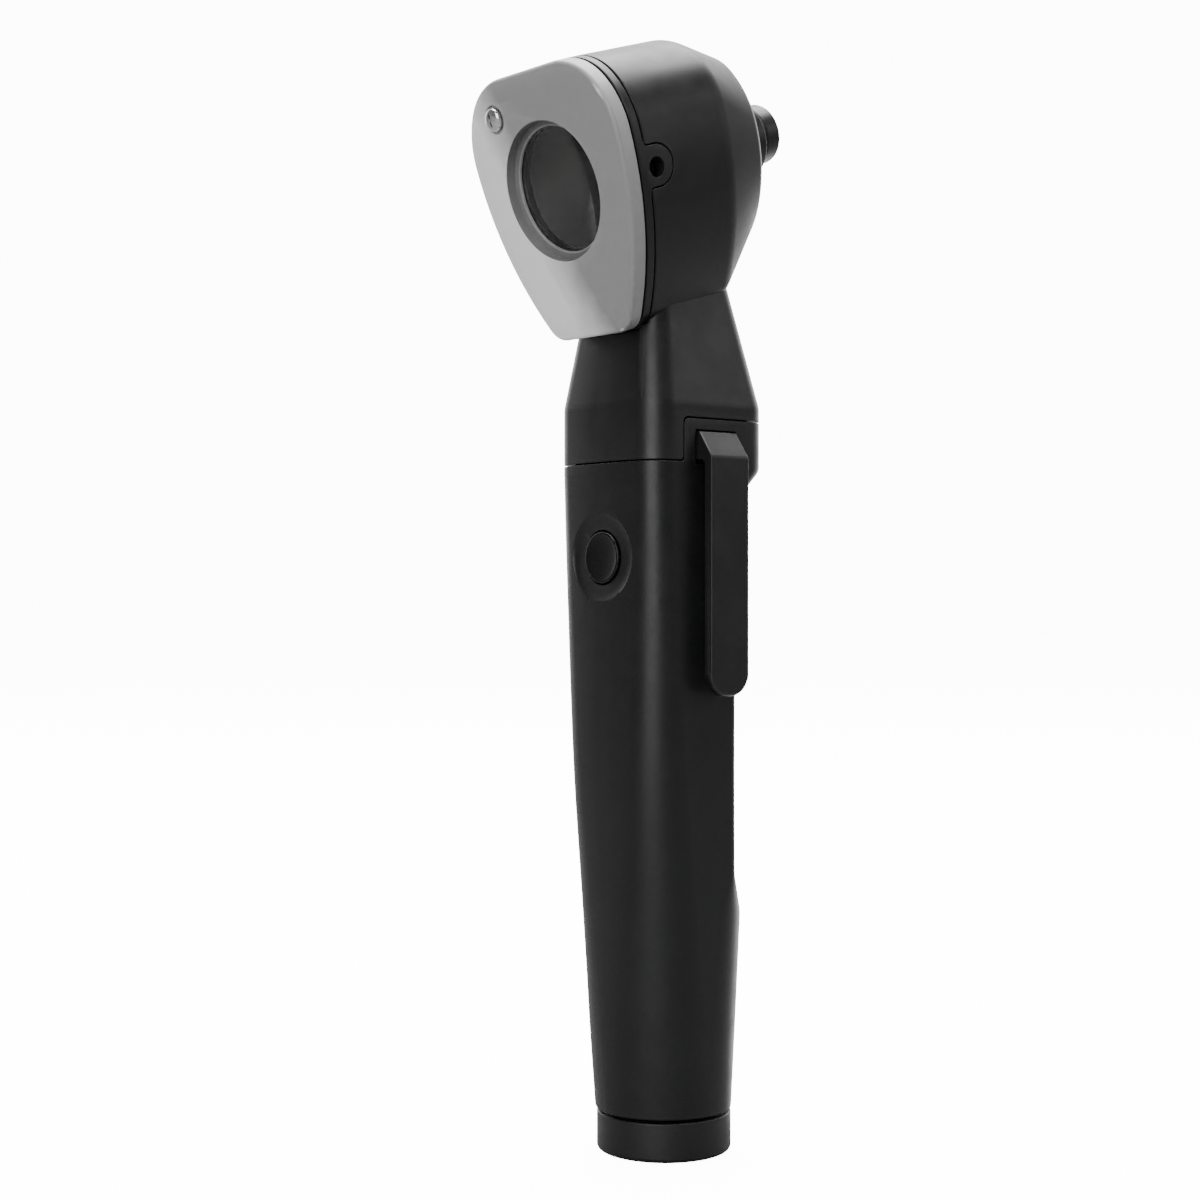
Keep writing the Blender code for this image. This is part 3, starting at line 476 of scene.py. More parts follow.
def frosted(name, dark, light):
    """Frosted translucent plastic. Its base tone runs dark to light across the plate, as painted shade and
    painted light matched to how the real plate looks in its light; it is not known to be in the plastic."""
    s = Surface(name, Subsurface_Weight=0.35, Subsurface_Scale=0.001, IOR=1.49)
    s.shader.inputs["Subsurface Radius"].default_value = (0.8, 0.8, 0.85)
    s.shader.inputs["Specular IOR Level"].default_value = 0.55
    cloud, fine = s.noise(11.0, 3.0, distortion=0.4), s.noise(0.11, 2.0)
    axes = s.node("ShaderNodeSeparateXYZ")
    s.link(s.coords, axes.inputs["Vector"])
    # painted shade and painted light: the tone runs dark to light across the plate, standing in for how light
    # falls on it
    across = s.combine("ADD", axes.outputs["Y"], s.combine("MULTIPLY", axes.outputs["Z"], -0.4))
    across = s.combine("ADD", across, s.spread(cloud, -0.0015, 0.0015))
    base = s.blend(s.spread(across, 0.0, 1.0, -0.0604, -0.0514), dark, light)
    s.colour(s.blend(s.combine("MULTIPLY", s.worn_edges(), 0.6), base, (0.85, 0.85, 0.85)))
    s.roughness(s.combine("ADD", s.spread(cloud, 0.34, 0.42), s.spread(fine, -0.02, 0.02)))
    s.relief((fine, 0.006, 0.35), round_edges=0.1)
    return s.material


def metal(name, bright, dull, rough=(0.16, 0.30), brushed=(1, 1, 12), wear=0.0):
    """Plated or machined metal with fine tool marks and faint tarnish."""
    s = Surface(name, Metallic=1.0)
    tarnish, marks = s.noise(1.6, 4.0, distortion=0.5), s.noise(0.5, 3.0, brushed)
    base = s.blend(s.spread(tarnish, 0.0, 1.0), bright, dull)
    if wear:
        polished = tuple(min(1.2 * c, 1.0) for c in bright)
        base = s.blend(s.combine("MULTIPLY", s.worn_edges(), wear), base, polished)
    s.colour(base)
    s.roughness(s.combine("ADD", s.spread(tarnish, *rough), s.spread(marks, -0.04, 0.06)))
    s.relief((marks, 0.004, 0.3), round_edges=0.05)
    return s.material


def clear(name, tint, rough, ior=1.5):
    """Clear optical glass or acrylic with a trace of dust."""
    s = Surface(name, Transmission_Weight=1.0, IOR=ior)
    dust = s.noise(0.6, 4.0)
    s.colour(s.blend(s.spread(dust, 0.0, 0.12, 0.62, 0.8), tint, tuple(0.8 * c for c in tint)))
    s.roughness(s.spread(dust, rough, rough + 0.05, 0.55, 0.8))
    s.relief((s.noise(14.0, 1.0), 0.002, 0.05))
    return s.material


def board(name):
    """Solder-masked board with copper tracks showing as ridges under the green."""
    s = Surface(name)
    tracks = s.cells(1.7, "DISTANCE_TO_EDGE")
    line = s.spread(tracks, 1.0, 0.0, 0.035, 0.06)
    pads = s.spread(s.cells(1.2), 1.0, 0.0, 0.10, 0.14)
    base = s.blend(line, (0.008, 0.085, 0.035), (0.02, 0.17, 0.06))
    s.colour(s.blend(pads, base, (0.55, 0.55, 0.52)))
    s.link(pads, s.shader.inputs["Metallic"])
    s.roughness(s.spread(s.noise(0.8), 0.22, 0.4))
    s.relief((line, 0.03, 0.6), (pads, 0.05, 0.6))
    return s.material


def jacket(name):
    """Battery sleeve: a dark shrink film, plain and unmarked."""
    s = Surface(name)
    film = s.noise(0.5, 2.0)
    wrap = s.noise(3.0, 3.0, (1, 1, 0.3))
    s.colour(s.blend(s.spread(wrap, 0.0, 1.0), (0.05, 0.055, 0.07), (0.09, 0.095, 0.11)))
    s.shader.inputs["Metallic"].default_value = 0.5
    s.roughness(s.spread(wrap, 0.22, 0.36))
    s.relief((film, 0.01, 0.2), (wrap, 0.05, 0.2))
    return s.material


def dressed(name, dark, light, rough, cell=0.5):
    """Small moulded or insulated parts: mottled colour over a fine texture."""
    s = Surface(name)
    mottle, fine = s.noise(cell * 4.0, 3.0), s.noise(cell * 0.4, 2.0)
    s.colour(s.blend(s.spread(mottle, 0.0, 1.0), dark, light))
    s.roughness(s.spread(mottle, rough - 0.06, rough + 0.08))
    s.relief((fine, 0.02, 0.4), round_edges=0.05)
    return s.material


BLACK = moulded("black_plastic", (0.0048, 0.0048, 0.0051), (0.0064, 0.0064, 0.0068))
BEZEL_BLACK = moulded("bezel_plastic", (0.0050, 0.0050, 0.0053), (0.0068, 0.0068, 0.0072), (0.32, 0.40))
CLIP_BLACK = moulded("clip_plastic", (0.0062, 0.0062, 0.0065), (0.0082, 0.0082, 0.0086), (0.34, 0.44))
CAP_BLACK = moulded("cap_plastic", (0.0075, 0.0075, 0.0078), (0.0098, 0.0098, 0.0103), (0.36, 0.46))
BUTTON_BLACK = moulded("button_plastic", (0.0022, 0.0022, 0.0024), (0.0032, 0.0032, 0.0034), (0.24, 0.32),
                       depth=0.003, specular=0.3)
FUNNEL_BLACK = moulded("funnel_plastic", (0.004, 0.004, 0.004), (0.006, 0.006, 0.006), (0.6, 0.75),
                       specular=0.25, edges=0.0)
# the plate's tone carries painted shade and painted light across it
FROSTED = frosted("frosted_plastic", (0.29, 0.29, 0.295), (0.92, 0.92, 0.925))
# painted shade: the wall of the opening gets a darker copy of the plate's material, since it lies in shade;
# this too is matched to how it looks
FROSTED_WALL_PAINTED_SHADE = frosted("frosted_wall_painted_shade", (0.12, 0.12, 0.122), (0.2, 0.2, 0.202))
GLASS = clear("lens_glass", (0.97, 0.985, 0.98), 0.01, 1.52)
ACRYLIC = clear("guide_acrylic", (0.9, 0.94, 0.95), 0.06, 1.49)
CHROME = metal("chrome_screw", (0.78, 0.78, 0.79), (0.60, 0.60, 0.61), (0.10, 0.2), (1, 1, 1), 0.4)
STEEL = metal("zinc_steel", (0.62, 0.62, 0.63), (0.45, 0.45, 0.44), (0.24, 0.38), (1, 1, 8), 0.3)
SPRING = metal("spring_steel", (0.72, 0.71, 0.69), (0.52, 0.51, 0.49), (0.2, 0.34), (1, 1, 10), 0.3)
BRASS = metal("brass", (0.72, 0.52, 0.24), (0.50, 0.34, 0.14), (0.2, 0.34), (1, 1, 12), 0.4)
ALUMINIUM = metal("aluminium", (0.80, 0.80, 0.82), (0.66, 0.66, 0.68), (0.28, 0.42), (1, 6, 1), 0.3)
BOARD = board("circuit_board_green")
JACKET = jacket("battery_jacket")
RUBBER = dressed("seal_rubber", (0.012, 0.012, 0.012), (0.022, 0.022, 0.021), 0.68)
EPOXY = dressed("chip_epoxy", (0.018, 0.018, 0.018), (0.03, 0.03, 0.03), 0.5, 0.3)
CERAMIC = dressed("capacitor_ceramic", (0.36, 0.24, 0.12), (0.48, 0.33, 0.17), 0.4)
PHOSPHOR = dressed("led_phosphor", (0.82, 0.70, 0.22), (0.92, 0.84, 0.42), 0.25, 0.2)
RED_WIRE = dressed("red_insulation", (0.38, 0.012, 0.012), (0.5, 0.02, 0.018), 0.42)
BLACK_WIRE = dressed("black_insulation", (0.015, 0.015, 0.015), (0.024, 0.024, 0.024), 0.42)


# --- fitting pieces to the frame -----------------------------------------------------------------

def fit(obj, body, material, sharp=32.0):
    """Shade a piece, give it its material and set it on its CAD body in place of its node."""
    tidy(obj, sharp)
    obj.data.materials.clear()
    obj.data.materials.append(material)
    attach(obj, body)
    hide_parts(obj.name.removesuffix("_look"))


def rod(name, radius, low, high, matrix=None, steps=48):
    return turned(name, [(0, low), (radius, low), (radius, high), (0, high)], matrix, steps)


def block(name, low, high):
    (x0, y0, z0), (x1, y1, z1) = low, high
    ring = [(x0, y0), (x1, y0), (x1, y1), (x0, y1)]
    return loft(name, [[(x, y, z) for x, y in ring] for z in (z0, z1)])


def in_head(p, q):
    """The head's frame moved to a place p to the user's right and q up the plate."""
    return HEAD @ Matrix.Translation((-q, -p, 0.0))


def cross_recess(name, matrix, reach, depth, top):
    """The tapered arms of a cross recess, from just above a screw's head down into it."""
    arm = 0.22 * reach
    rings = []
    for height, scale in ((top - 0.6, 1.25), (top + depth, 0.62)):
        long, wide = reach * scale, arm * (0.5 + 0.5 * scale)
        rings.append([(x, y, height) for x, y in (
            (long, -wide), (long, wide), (wide, wide), (wide, long), (-wide, long), (-wide, wide),
            (-long, wide), (-long, -wide), (-wide, -wide), (-wide, -long), (wide, -long), (wide, -wide))])
    return loft(name, rings, matrix)


# --- magnifier -----------------------------------------------------------------------------------

def make_magnifier():
    crown, edge = 0.22, 0.7
    rings = [head_ring(BASE, edge + 2.7 * (1 - k / 6), crown * (k / 6) ** 2) for k in range(6)]
    rings += [head_ring(BASE, edge * (1 - math.sin(a)), crown + edge * (1 - math.cos(a)))
              for a in (math.radians(10 * k) for k in range(10))]
    rings += [head_ring(BASE, 0.35 * (1 - math.cos(a)), PLATE_BACK - 0.35 * (1 - math.sin(a)))
              for a in (math.radians(15 * k) for k in range(7))]
    frame_piece = loft("lens_frame_look", rings, HEAD)
    wall = LENS_RADIUS
    opening = turned("opening", [(0, -1.0), (wall + 1.02, -1.0), (wall + 0.03, 0.05), (wall, 0.12),
                                 (wall, 1.9), (wall - 1.15, 1.95), (wall - 1.15, 2.4), (wall, 2.4),
                                 (wall, 4.0), (0, 4.0)], HEAD, steps=160)
    at = in_head(-PIVOT[0], PIVOT[1])
    seat = turned("screw_seat", [(0, -1.2), (PIVOT_HEAD + 1.5, -1.2), (PIVOT_HEAD + 0.35, 0.15),
                                 (PIVOT_HEAD + 0.35, 0.6), (1.4, 0.6), (1.4, 2.35), (3.0, 2.35), (3.0, 4.2),
                                 (0, 4.2)], at, steps=64)
    cut(frame_piece, opening, seat)
    fit(frame_piece, "magnifier", FROSTED)
    # the opening's wall takes the darker copy of the plate material, a painted shade
    frame_piece.data.materials.append(FROSTED_WALL_PAINTED_SHADE)
    to_head = HEAD.inverted()
    for face in frame_piece.data.polygons:
        centre = to_head @ (face.center / MM)
        if 0.1 < centre.z < PLATE_BACK and math.hypot(centre.x, centre.y) < wall + 0.1:
            face.material_index = 1

    edge = LENS_RADIUS - 0.3
    steps = [edge * i / 14 for i in range(15)]
    front = [(r, 1.5 + 1.1 * (r / edge) ** 2) for r in steps]
    back = [(r, 3.1 - 0.15 * (r / edge) ** 2) for r in steps]
    lens = turned("magnifier_lens_look", front + back[::-1], HEAD, steps=128)
    fit(lens, "magnifier", GLASS)


def make_pivot_screw():
    at = in_head(-PIVOT[0], PIVOT[1])
    head = PIVOT_HEAD
    dome = [(0, -0.8), (0.3 * head, -0.79), (0.5 * head, -0.77), (0.68 * head, -0.7), (0.82 * head, -0.58),
            (0.92 * head, -0.4), (0.98 * head, -0.2), (head, 0.0), (head, 0.2), (0.97 * head, 0.28),
            (1.15, 0.3)]
    threads = []
    for turn in range(14):
        low = 3.6 + 0.4 * turn
        threads += [(1.1, low), (0.92, low + 0.2)]
    profile = dome + [(1.1, 0.35)] + threads + [(1.1, 9.1), (0.7, 9.4), (0, 9.4)]
    screw = turned("pivot_screw_look", profile, at, steps=72)
    cut(screw, cross_recess("recess", at, 1.15, 0.55, -0.8))
    fit(screw, "housing", CHROME)


# --- head ----------------------------------------------------------------------------------------

def tab_outline(grow):
    """Side view of the port tab, as (x, d): a D whose root flares into the bezel."""
    radius, flare = TAB_RADIUS + grow, 0.8 - grow
    root = BEZEL_BACK + 0.8 * grow
    line = [(-radius - flare - 0.01, 3.0), (-radius - flare - 0.01, root)]
    line += arc(-radius - flare, root + flare, flare, -90, 0, 6)
    line += arc(0.0, TAB_D, radius, 180, 0, 28)
    line += arc(radius + flare, root + flare, flare, 180, 270, 6)
    return line + [(radius + flare + 0.01, root), (radius + flare + 0.01, 3.0)]


SIDE_OF_HEAD = HEAD @ SIDEWAYS       # local z runs out of the head's side that carries the port


def make_bezel():
    bezel = extruded("rear_bezel_look", head_outline(BASE), BEZEL_FRONT, BEZEL_BACK, HEAD, edge=0.2, steps=4)
    tab = extruded("tab", head_outline(BASE), 4.2, 14.0, HEAD)
    shape = loft("tab_shape", [[(x, y, z) for x, y in tab_outline(0.0)] for z in (16.0, 25.0)], SIDE_OF_HEAD)
    combine(tab, "INTERSECT", shape)
    boss = turned("boss", [(2.0, 10.0), (2.6, 10.0), (2.6, 4.4), (2.0, 4.4)], in_head(-PIVOT[0], PIVOT[1]),
                  48, closed=True)
    join(bezel, tab, boss)
    port = turned("port_hole", [(0, 8.0), (PORT_RADIUS, 8.0), (PORT_RADIUS, 19.2), (3.6, 21.2), (0, 21.2)],
                  SIDE_OF_HEAD @ Matrix.Translation((0.3, PORT_D, 0.0)), 64)
    groove = turned("groove", [(10.5, 4.6), (12.3, 4.6), (12.3, 3.0), (10.5, 3.0)], HEAD, 96, closed=True)
    pivot_hole = rod("pivot_hole", 1.4, 2.0, 11.0, in_head(-PIVOT[0], PIVOT[1]))
    cut(bezel, rod("window", 9.8, 2.0, 7.0, HEAD, 128), pivot_hole, groove, port)
    for p, q in BEZEL_SCREWS:
        sink = [(0, 3.0), (2.3, 3.0), (2.3, 3.75), (1.15, 4.8), (1.15, 7.0), (0, 7.0)]
        cut(bezel, turned("sink", sink, in_head(p, q), 48))
    fit(bezel, "housing", BEZEL_BLACK)


def make_head():
    shell = loft("head_shell_look", [body_ring(section) for section in eased(NECK, {1: 0.6})])
    run = eased((BASE, CREASE, RIM, FRONT), {1: 1.1, 2: 0.75}, 8)
    lips = [head_ring(BASE, 0.2 * (1 - math.sin(a)), BASE[0] + 0.2 * (1 - math.cos(a)))
            for a in (math.radians(18 * k) for k in range(6))]
    steps = [mix(BASE, run[1], i / 8) for i in range(1, 8)]
    outer = loft("head_outer", lips + [head_ring(s) for s in steps + run[1:]], HEAD)
    radius = NOSE_RADIUS - 0.04
    nose_end = arc(radius - 0.4, NOSE_END - 0.4, 0.4, 0, 90, 6)
    nose = turned("nose", [(0, 36.0), (radius, 36.0)] + nose_end + [(0, NOSE_END)], HEAD, 128)
    join(shell, outer, nose)
    cut(shell, loft("bezel_room", [head_ring(BASE, -0.35, d) for d in (-6.0, BASE[0] + 0.02)], HEAD))
    inside = [head_ring(BASE, HEAD_WALL, 2.7), head_ring(mix(BASE, CREASE, 0.94), HEAD_WALL),
              head_ring(mix(CREASE, RIM, 0.11), HEAD_WALL), head_ring(RIM, HEAD_WALL, RIM[0] - 0.9)]
    cone_end = mix(RIM, FRONT, (37.7 - RIM[0]) / (FRONT[0] - RIM[0]))
    inside.append(head_ring(cone_end, HEAD_WALL * 1.2, 37.7))
    below = (NECK[0][0] - 6.0, *NECK[0][1:])
    hollow = [below, *NECK[:2], mix(NECK[1], NECK[2], 0.84)]
    head_cavity = loft("head_cavity", inside, HEAD)
    neck_cavity = loft("neck_cavity", [body_ring(section, NECK_WALL) for section in hollow])
    for cavity in (head_cavity, neck_cavity):
        cut(cavity, *[rod("boss", 2.3, BASE[0] - 0.4, 16.0, in_head(p, q), 40) for p, q in BEZEL_SCREWS])
    cut(shell, head_cavity, neck_cavity)
    for p, q in BEZEL_SCREWS:
        cut(shell, rod("pilot", 1.15, 4.0, 12.6, in_head(p, q), 32))
    notch = loft("notch", [[(x, y, z) for x, y in tab_outline(0.3)] for z in (14.5, 25.0)], SIDE_OF_HEAD)
    below_seam = loft("below_seam", [[(x, y, z) for x, y in seam_outline(0.15, 90.0)] for z in (-30, 30)],
                      SIDEWAYS)
    cut(shell, notch, below_seam, rod("bore", NOSE_BORE, 34.0, 45.0, HEAD, 96))
    fit(shell, "housing", BLACK)


def make_viewing_parts():
    cone = [(2.5, HOLDER_END - 0.6), (3.1, HOLDER_END - 0.6), (3.1, 34.0), (11.6, 6.2), (11.6, 5.4),
            (10.6, 5.4), (10.6, 6.0), (2.5, 33.6)]
    funnel = turned("viewing_cone_look", cone, HEAD, 128, closed=True)
    port = rod("port", PORT_RADIUS, 6.0, 16.0, SIDE_OF_HEAD @ Matrix.Translation((0.3, PORT_D + 0.3, 0.0)))
    cut(funnel, port)
    fit(funnel, "housing", FUNNEL_BLACK)
    flange = 36.4
    ring = [(3.4, HOLDER_END - 0.4), (3.5, HOLDER_END - 0.3), (3.8, HOLDER_END - 0.3),
            (3.9, HOLDER_END - 0.4), (3.9, flange - 0.3), (6.2, flange - 0.3), (6.2, flange - 1.1),
            (3.4, flange - 1.1)]
    fit(turned("light_ring_look", ring, HEAD, 96, closed=True), "housing", ACRYLIC)
    end = HOLDER_END
    holder = [(4.2, end - 0.1), (4.3, end), (4.6, end), (4.8, end - 0.06), (4.97, end - 0.2),
              (5.07, end - 0.42), (5.1, end - 0.65), (5.1, end - 2.9), (5.06, end - 3.05),
              (4.95, end - 3.2), (4.7, end - 3.35), (4.6, end - 3.5), (4.6, end - 4.7),
              (4.68, end - 4.82), (5.0, end - 5.0), (5.12, end - 5.1), (5.15, end - 5.25),
              (5.15, flange + 0.8), (6.1, flange + 0.8), (6.1, flange), (4.2, flange)]
    stub = turned("specula_holder_look", holder, HEAD, 128, closed=True)
    fit(stub, "housing", BEZEL_BLACK)
    outer = PORT_RADIUS - 0.01
    tube = [(1.0, 15.45), (1.2, 15.68), (1.4, 15.7), (1.55, 15.65), (outer, 15.5), (outer, 11.9), (1.0, 11.9)]
    at = SIDE_OF_HEAD @ Matrix.Translation((0.3, PORT_D, 0.0))
    fit(turned("port_tube_look", tube, at, 64, closed=True), "housing", FUNNEL_BLACK)


# --- handle --------------------------------------------------------------------------------------

def make_handle():
    sections = handle_sections()
    bottom = sections[0]
    lip = [body_ring((bottom[0] + 0.25 * (1 - math.cos(a)), *bottom[1:]), 0.25 * (1 - math.sin(a)))
           for a in (math.radians(18 * k) for k in range(5))]
    shell = loft("handle_shell_look", lip + [body_ring((bottom[0] + 0.25, *bottom[1:]))]
                 + [body_ring(section) for section in sections[1:]])
    below, above = (bottom[0] - 3.0, *bottom[1:]), (130.0, *sections[-1][1:])
    hollow = [below, *smooth(HANDLE_LOWER, 3), *smooth(HANDLE_GRIP, 3), *HANDLE_TOP, above]
    cut(shell, loft("handle_cavity", [body_ring(section, SHELL_WALL) for section in hollow]))
    above_seam = loft("above_seam", [[(x, y, z) for x, y in seam_outline(-0.15, 150.0)] for z in (-30, 30)],
                      SIDEWAYS)
    slot = block("clip_slot", (CLIP_LEFT - 0.35, -15.0, 112.9), (CLIP_RIGHT + 0.35, -10.5, CLIP_TOP + 0.35))
    rings = []
    rim_to_floor = ((1.06, 3.0), (1.06, 0.5), (1.0, 0.12), (0.95, 0.0), (0.8, 0.0), (0.6, 0.0), (0.4, 0.0))
    for reach, lift in rim_to_floor:
        ring = []
        for y, z in circle(0, 0, SCOOP_RADIUS * reach, 128):
            depth = SCOOP_DEPTH * (1.0 - (z / SCOOP_RADIUS) ** 2) - SCOOP_RISE if lift < 1.0 else 0.0
            ring.append((BUTTON_BACK - 0.009 * z + depth - lift, y, BUTTON_HEIGHT + z))
        rings.append(ring)
    hole = rod("button_hole", BUTTON_RADIUS + 0.28, 8.0, 16.0,
               Matrix.Translation((0, 0, BUTTON_HEIGHT)) @ BACKWARDS, 128)
    cut(shell, above_seam, loft("scoop", rings), hole, slot)
    fit(shell, "housing", BLACK)


def make_clip():
    """The clip is skinned across its width, so its corners and long edges are truly rounded."""
    edge = 0.22
    half, middle = (CLIP_RIGHT - CLIP_LEFT) / 2, (CLIP_LEFT + CLIP_RIGHT) / 2
    reaches = [half - edge * (1 - math.cos(math.radians(a))) for a in (0, 15, 30, 45, 60, 75, 90)][::-1]
    inner_reach = [half - CLIP_CORNER + CLIP_CORNER * math.sin(math.radians(a)) for a in range(0, 60, 6)]
    stations = sorted(set([-r for r in reaches + inner_reach] + reaches + inner_reach + [0.0]))
    rings = []
    for s in stations:
        side = abs(s) - (half - edge)
        inset = edge - math.sqrt(max(edge ** 2 - side ** 2, 0.0)) if side > 0 else 0.0
        over = abs(s) - (half - CLIP_CORNER)
        lift = CLIP_CORNER - math.sqrt(max(CLIP_CORNER ** 2 - over ** 2, 0.0)) if over > 0 else 0.0
        face, inner = CLIP_FACE + inset, CLIP_FACE + CLIP_THICKNESS - 0.6 * inset
        top, low = CLIP_TOP - inset, CLIP_BOTTOM + lift
        ring = [(-11.5, top), (-12.6, top)]
        ring += [(CLIP_FACE + away + inset, CLIP_TOP - drop - 0.6 * inset) for away, drop in CLIP_SHOULDER]
        ring += [(face, low + 0.6)]
        ring += [(face + 0.6 * (1 - math.cos(a)), low + 0.6 * (1 - math.sin(a)))
                 for a in (math.radians(18 * k) for k in range(1, 6))]
        ring += [(inner - 0.15, low), (inner, low + 0.15), (inner, 112.5)]
        ring += [(inner + 1.2 * (1 - math.cos(a)), 112.5 + 1.2 * math.sin(a))
                 for a in (math.radians(15 * k) for k in range(1, 7))]
        ring += [(-11.5, 113.7)]
        rings.append([(middle + s, y, z) for y, z in ring])
    fit(loft("pocket_clip_look", rings), "clip", CLIP_BLACK, sharp=38.0)


def make_button():
    at = Matrix.Translation((0, 0, BUTTON_HEIGHT)) @ BACKWARDS
    face, radius = BUTTON_FACE, BUTTON_RADIUS
    profile = [(0, face - 0.26), (1.2, face - 0.245), (2.2, face - 0.2), (3.0, face - 0.13),
               (3.5, face - 0.07), (3.7, face - 0.03), (3.82, face), (3.95, face)]
    profile += arc(radius - 0.3, face - 0.3, 0.3, 90, 0, 6)
    profile += [(radius, 11.3), (radius + 0.06, 11.24), (4.95, 11.24), (5.0, 11.19), (5.0, 10.95),
                (4.95, 10.9), (0, 10.9)]
    fit(turned("button_cap_look", profile, at, 128), "button", BUTTON_BLACK)


# --- battery cap ---------------------------------------------------------------------------------

def make_cap():
    profile = [(0, CAP_FLOOR), (CAP_BORE - 0.3, CAP_FLOOR), (CAP_BORE, CAP_FLOOR + 0.3),
               (CAP_BORE, SPIGOT_TOP - 0.2), (CAP_BORE + 0.2, SPIGOT_TOP)]
    profile += arc(SPIGOT_RADIUS - 0.3, SPIGOT_TOP - 0.3, 0.3, 90, 0, 4)
    profile += [(SPIGOT_RADIUS, CAP_HEIGHT + 0.1), (SPIGOT_RADIUS + 0.1, CAP_HEIGHT)]
    profile += arc(CAP_RADIUS - 0.25, CAP_HEIGHT - 0.25, 0.25, 90, 0, 4)
    profile += arc(CAP_RADIUS - 0.8, 0.8, 0.8, 0, -90, 8)
    profile += [(8.5, 0.0), (8.35, 0.12), (8.2, 0.15), (0, 0.15)]
    cap = turned("battery_cap_look", profile, None, 160)
    turns, per_turn, pitch = 2.5, 72, 1.5
    rings = []
    for i in range(int(turns * per_turn) + 1):
        a = 2 * math.pi * i / per_turn
        z = 9.2 + pitch * i / per_turn
        crest = SPIGOT_RADIUS - 0.1 + 0.3 * min(1.0, i / 12, (turns * per_turn - i) / 12)
        root = SPIGOT_RADIUS - 0.3
        section = ((root, z - 0.5), (crest, z - 0.1), (crest, z + 0.1), (root, z + 0.5))
        rings.append([(r * math.cos(a), r * math.sin(a), height) for r, height in section])
    join(cap, loft("thread", rings))
    fit(cap, "cap", CAP_BLACK)


make_magnifier()
make_pivot_screw()
make_bezel()
make_head()
make_viewing_parts()
make_handle()
make_clip()
make_button()
make_cap()

for node_name, material in {
    "pivot_insert": BRASS, "thread_insert": BRASS, "positive_contact": BRASS,
    "pivot_washer": STEEL, "cap_contact_plate": STEEL, "contact_strip": STEEL,
    "bezel_screw_1": STEEL, "bezel_screw_2": STEEL, "bezel_screw_3": STEEL, "tact_switch": STEEL,
    "cap_spring": SPRING, "heat_sink": ALUMINIUM, "circuit_board": BOARD, "led_board": BOARD,
    "battery_lower": JACKET, "battery_upper": JACKET, "window_gasket": RUBBER, "cap_oring": RUBBER,
    "driver_chip": EPOXY, "inductor": EPOXY, "capacitor": CERAMIC, "led_emitter": PHOSPHOR,
    "led_wire_positive": RED_WIRE, "led_wire_negative": BLACK_WIRE, "light_guide": ACRYLIC,
    "battery_tube": FUNNEL_BLACK, "neck_sleeve": FUNNEL_BLACK, "led_holder": FUNNEL_BLACK,
    "switch_plunger": FUNNEL_BLACK,
}.items():
    node_mesh = NODES[node_name].data
    node_mesh.materials.clear()
    node_mesh.materials.append(material)


# --- studio --------------------------------------------------------------------------------------

BACKDROP_AXIS = (0.629, 0.777, 0.25)        # the brightest part of the surroundings lies this way
FLOOR_GLOW_AXIS = (0.839, 0.545, 0.0)       # and of the floor, this way
WHITE_FLOOR, WHITE_BACKDROP = 12.0, 16.0    # how bright each looks directly


def area_light(name, place_mm, target_mm, size_mm, power):
    """A soft rectangular light aimed at a point."""
    light = bpy.data.lights.new(name, "AREA")
    light.shape = "RECTANGLE"
    light.size, light.size_y = (side * MM for side in size_mm)
    light.energy = power
    obj = bpy.data.objects.new(name, light)
    obj.location = Vector(place_mm) * MM
    aim = Vector(target_mm) - Vector(place_mm)
    obj.rotation_euler = aim.to_track_quat("-Z", "Y").to_euler()
    bpy.context.scene.collection.objects.link(obj)


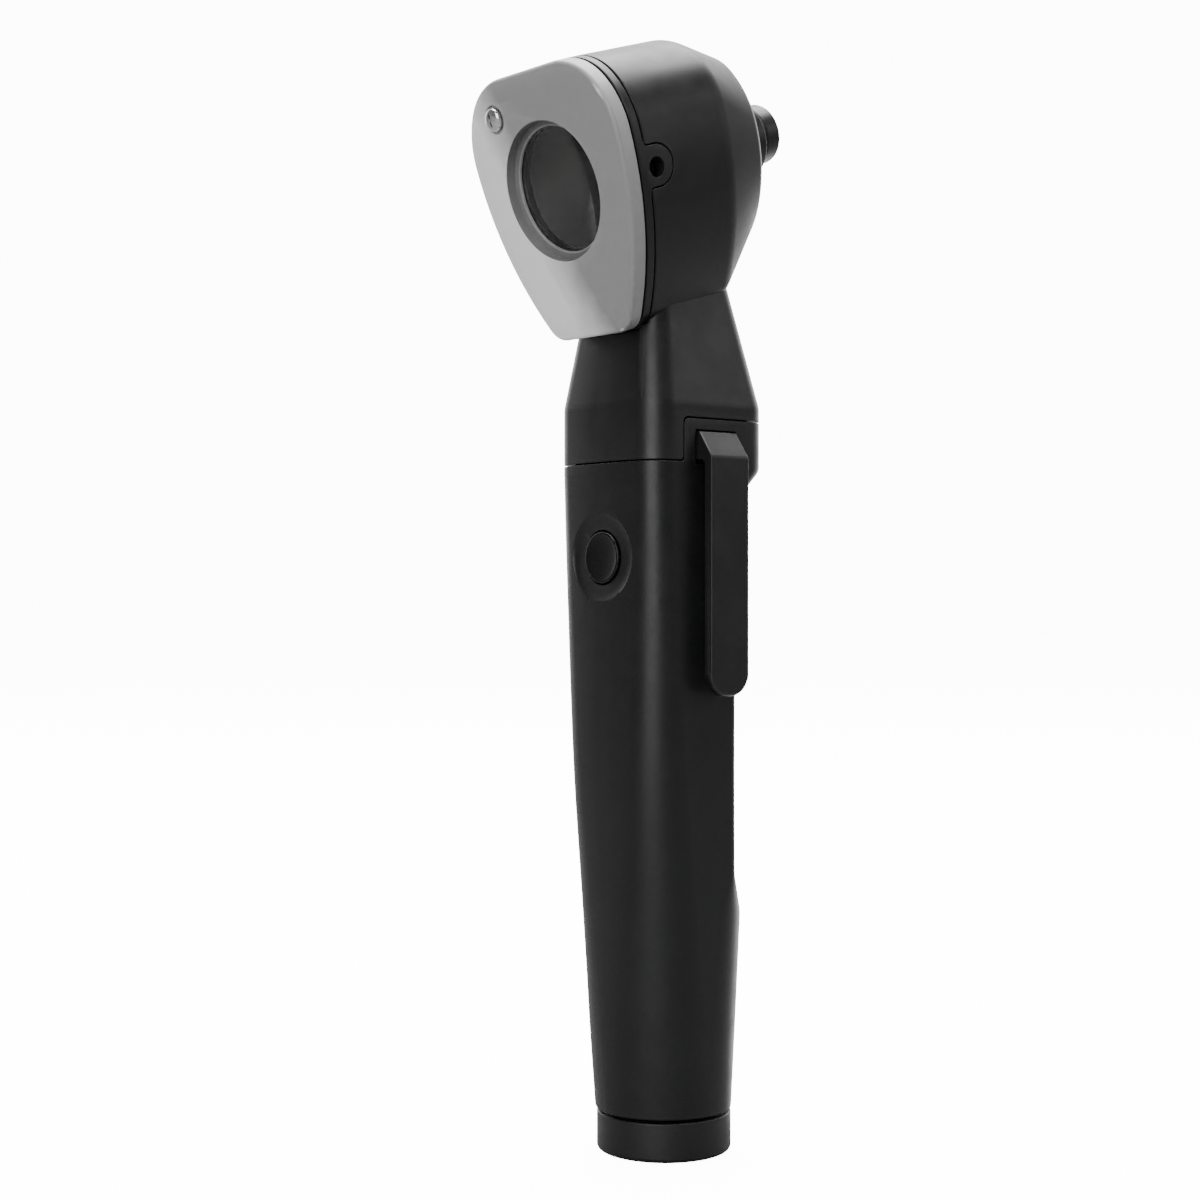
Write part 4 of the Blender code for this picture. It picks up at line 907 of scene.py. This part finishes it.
def make_studio():
    """A white floor and backdrop for the camera. What lights the object and shows in its gloss differs: a
    dark floor with one bright side, surroundings that brighten behind the object, and three soft lights."""
    floor = turned("floor", [(0, 0.0), (5000.0, 0.0)], None, 96)
    surface = Surface("floor_paper", Roughness=0.7)
    seen = surface.node("ShaderNodeLightPath").outputs["Is Camera Ray"]
    mottle = surface.spread(surface.noise(60.0, 3.0), 0.0, 1.0)
    paper = surface.blend(mottle, (0.88, 0.88, 0.88), (0.9, 0.9, 0.9))
    surface.colour(surface.blend(seen, (0.12, 0.12, 0.12), paper))
    surface.relief((surface.noise(1.5, 2.0), 0.02, 0.1))
    surface.shader.inputs["Emission Color"].default_value = (1.0, 1.0, 1.0, 1.0)
    bearing = surface.node("ShaderNodeVectorMath", operation="NORMALIZE")
    surface.link(surface.coords, bearing.inputs[0])
    beyond = surface.node("ShaderNodeVectorMath", operation="DOT_PRODUCT")
    beyond.inputs[1].default_value = FLOOR_GLOW_AXIS
    surface.link(bearing.outputs["Vector"], beyond.inputs[0])
    glow = surface.spread(beyond.outputs["Value"], 0.0, 2.0, 0.75, 0.97)
    unseen = surface.combine("MULTIPLY", surface.combine("SUBTRACT", 1.0, seen), glow)
    bright = surface.combine("ADD", surface.combine("MULTIPLY", seen, WHITE_FLOOR), unseen)
    surface.link(bright, surface.shader.inputs["Emission Strength"])
    floor.data.materials.append(surface.material)

    world = bpy.data.worlds.new("studio")
    bpy.context.scene.world = world
    world.use_nodes = True
    nodes, links = world.node_tree.nodes, world.node_tree.links
    nodes.clear()
    output = nodes.new("ShaderNodeOutputWorld")
    chooser = nodes.new("ShaderNodeMixShader")
    rays = nodes.new("ShaderNodeLightPath")
    backdrop, around = nodes.new("ShaderNodeBackground"), nodes.new("ShaderNodeBackground")
    backdrop.inputs["Strength"].default_value = WHITE_BACKDROP
    direction = nodes.new("ShaderNodeTexCoord").outputs["Generated"]
    facing = nodes.new("ShaderNodeVectorMath")
    facing.operation = "DOT_PRODUCT"
    facing.inputs[1].default_value = BACKDROP_AXIS
    ramp = nodes.new("ShaderNodeMapRange")
    ramp.interpolation_type = "SMOOTHSTEP"
    for key, value in (("From Min", 0.35), ("From Max", 1.0), ("To Min", 0.25), ("To Max", 4.6)):
        ramp.inputs[key].default_value = value
    links.new(direction, facing.inputs[0])
    links.new(facing.outputs["Value"], ramp.inputs["Value"])
    links.new(ramp.outputs["Result"], around.inputs["Strength"])
    links.new(rays.outputs["Is Camera Ray"], chooser.inputs["Fac"])
    links.new(around.outputs["Background"], chooser.inputs[1])
    links.new(backdrop.outputs["Background"], chooser.inputs[2])
    links.new(chooser.outputs["Shader"], output.inputs["Surface"])

    area_light("overhead", (100, 120, 1500), (0, 0, 100), (1600, 1600), 86.0)
    area_light("front_soft", (-850, -530, 230), (0, 0, 110), (650, 1100), 10.0)
    area_light("right_soft", (750, -870, 560), (0, 0, 130), (700, 500), 1.5)


def make_camera():
    camera = bpy.data.cameras.new("camera")
    camera.lens, camera.sensor_width = 63.0, 36.0
    camera.clip_start, camera.clip_end = 0.01, 20.0
    obj = bpy.data.objects.new("camera", camera)
    obj.location = (-0.2285, -0.2653, 0.0911)
    obj.rotation_euler = Vector((0.6293, 0.7771, 0.0)).to_track_quat("-Z", "Y").to_euler()
    bpy.context.scene.collection.objects.link(obj)
    bpy.context.scene.camera = obj


make_studio()
make_camera()
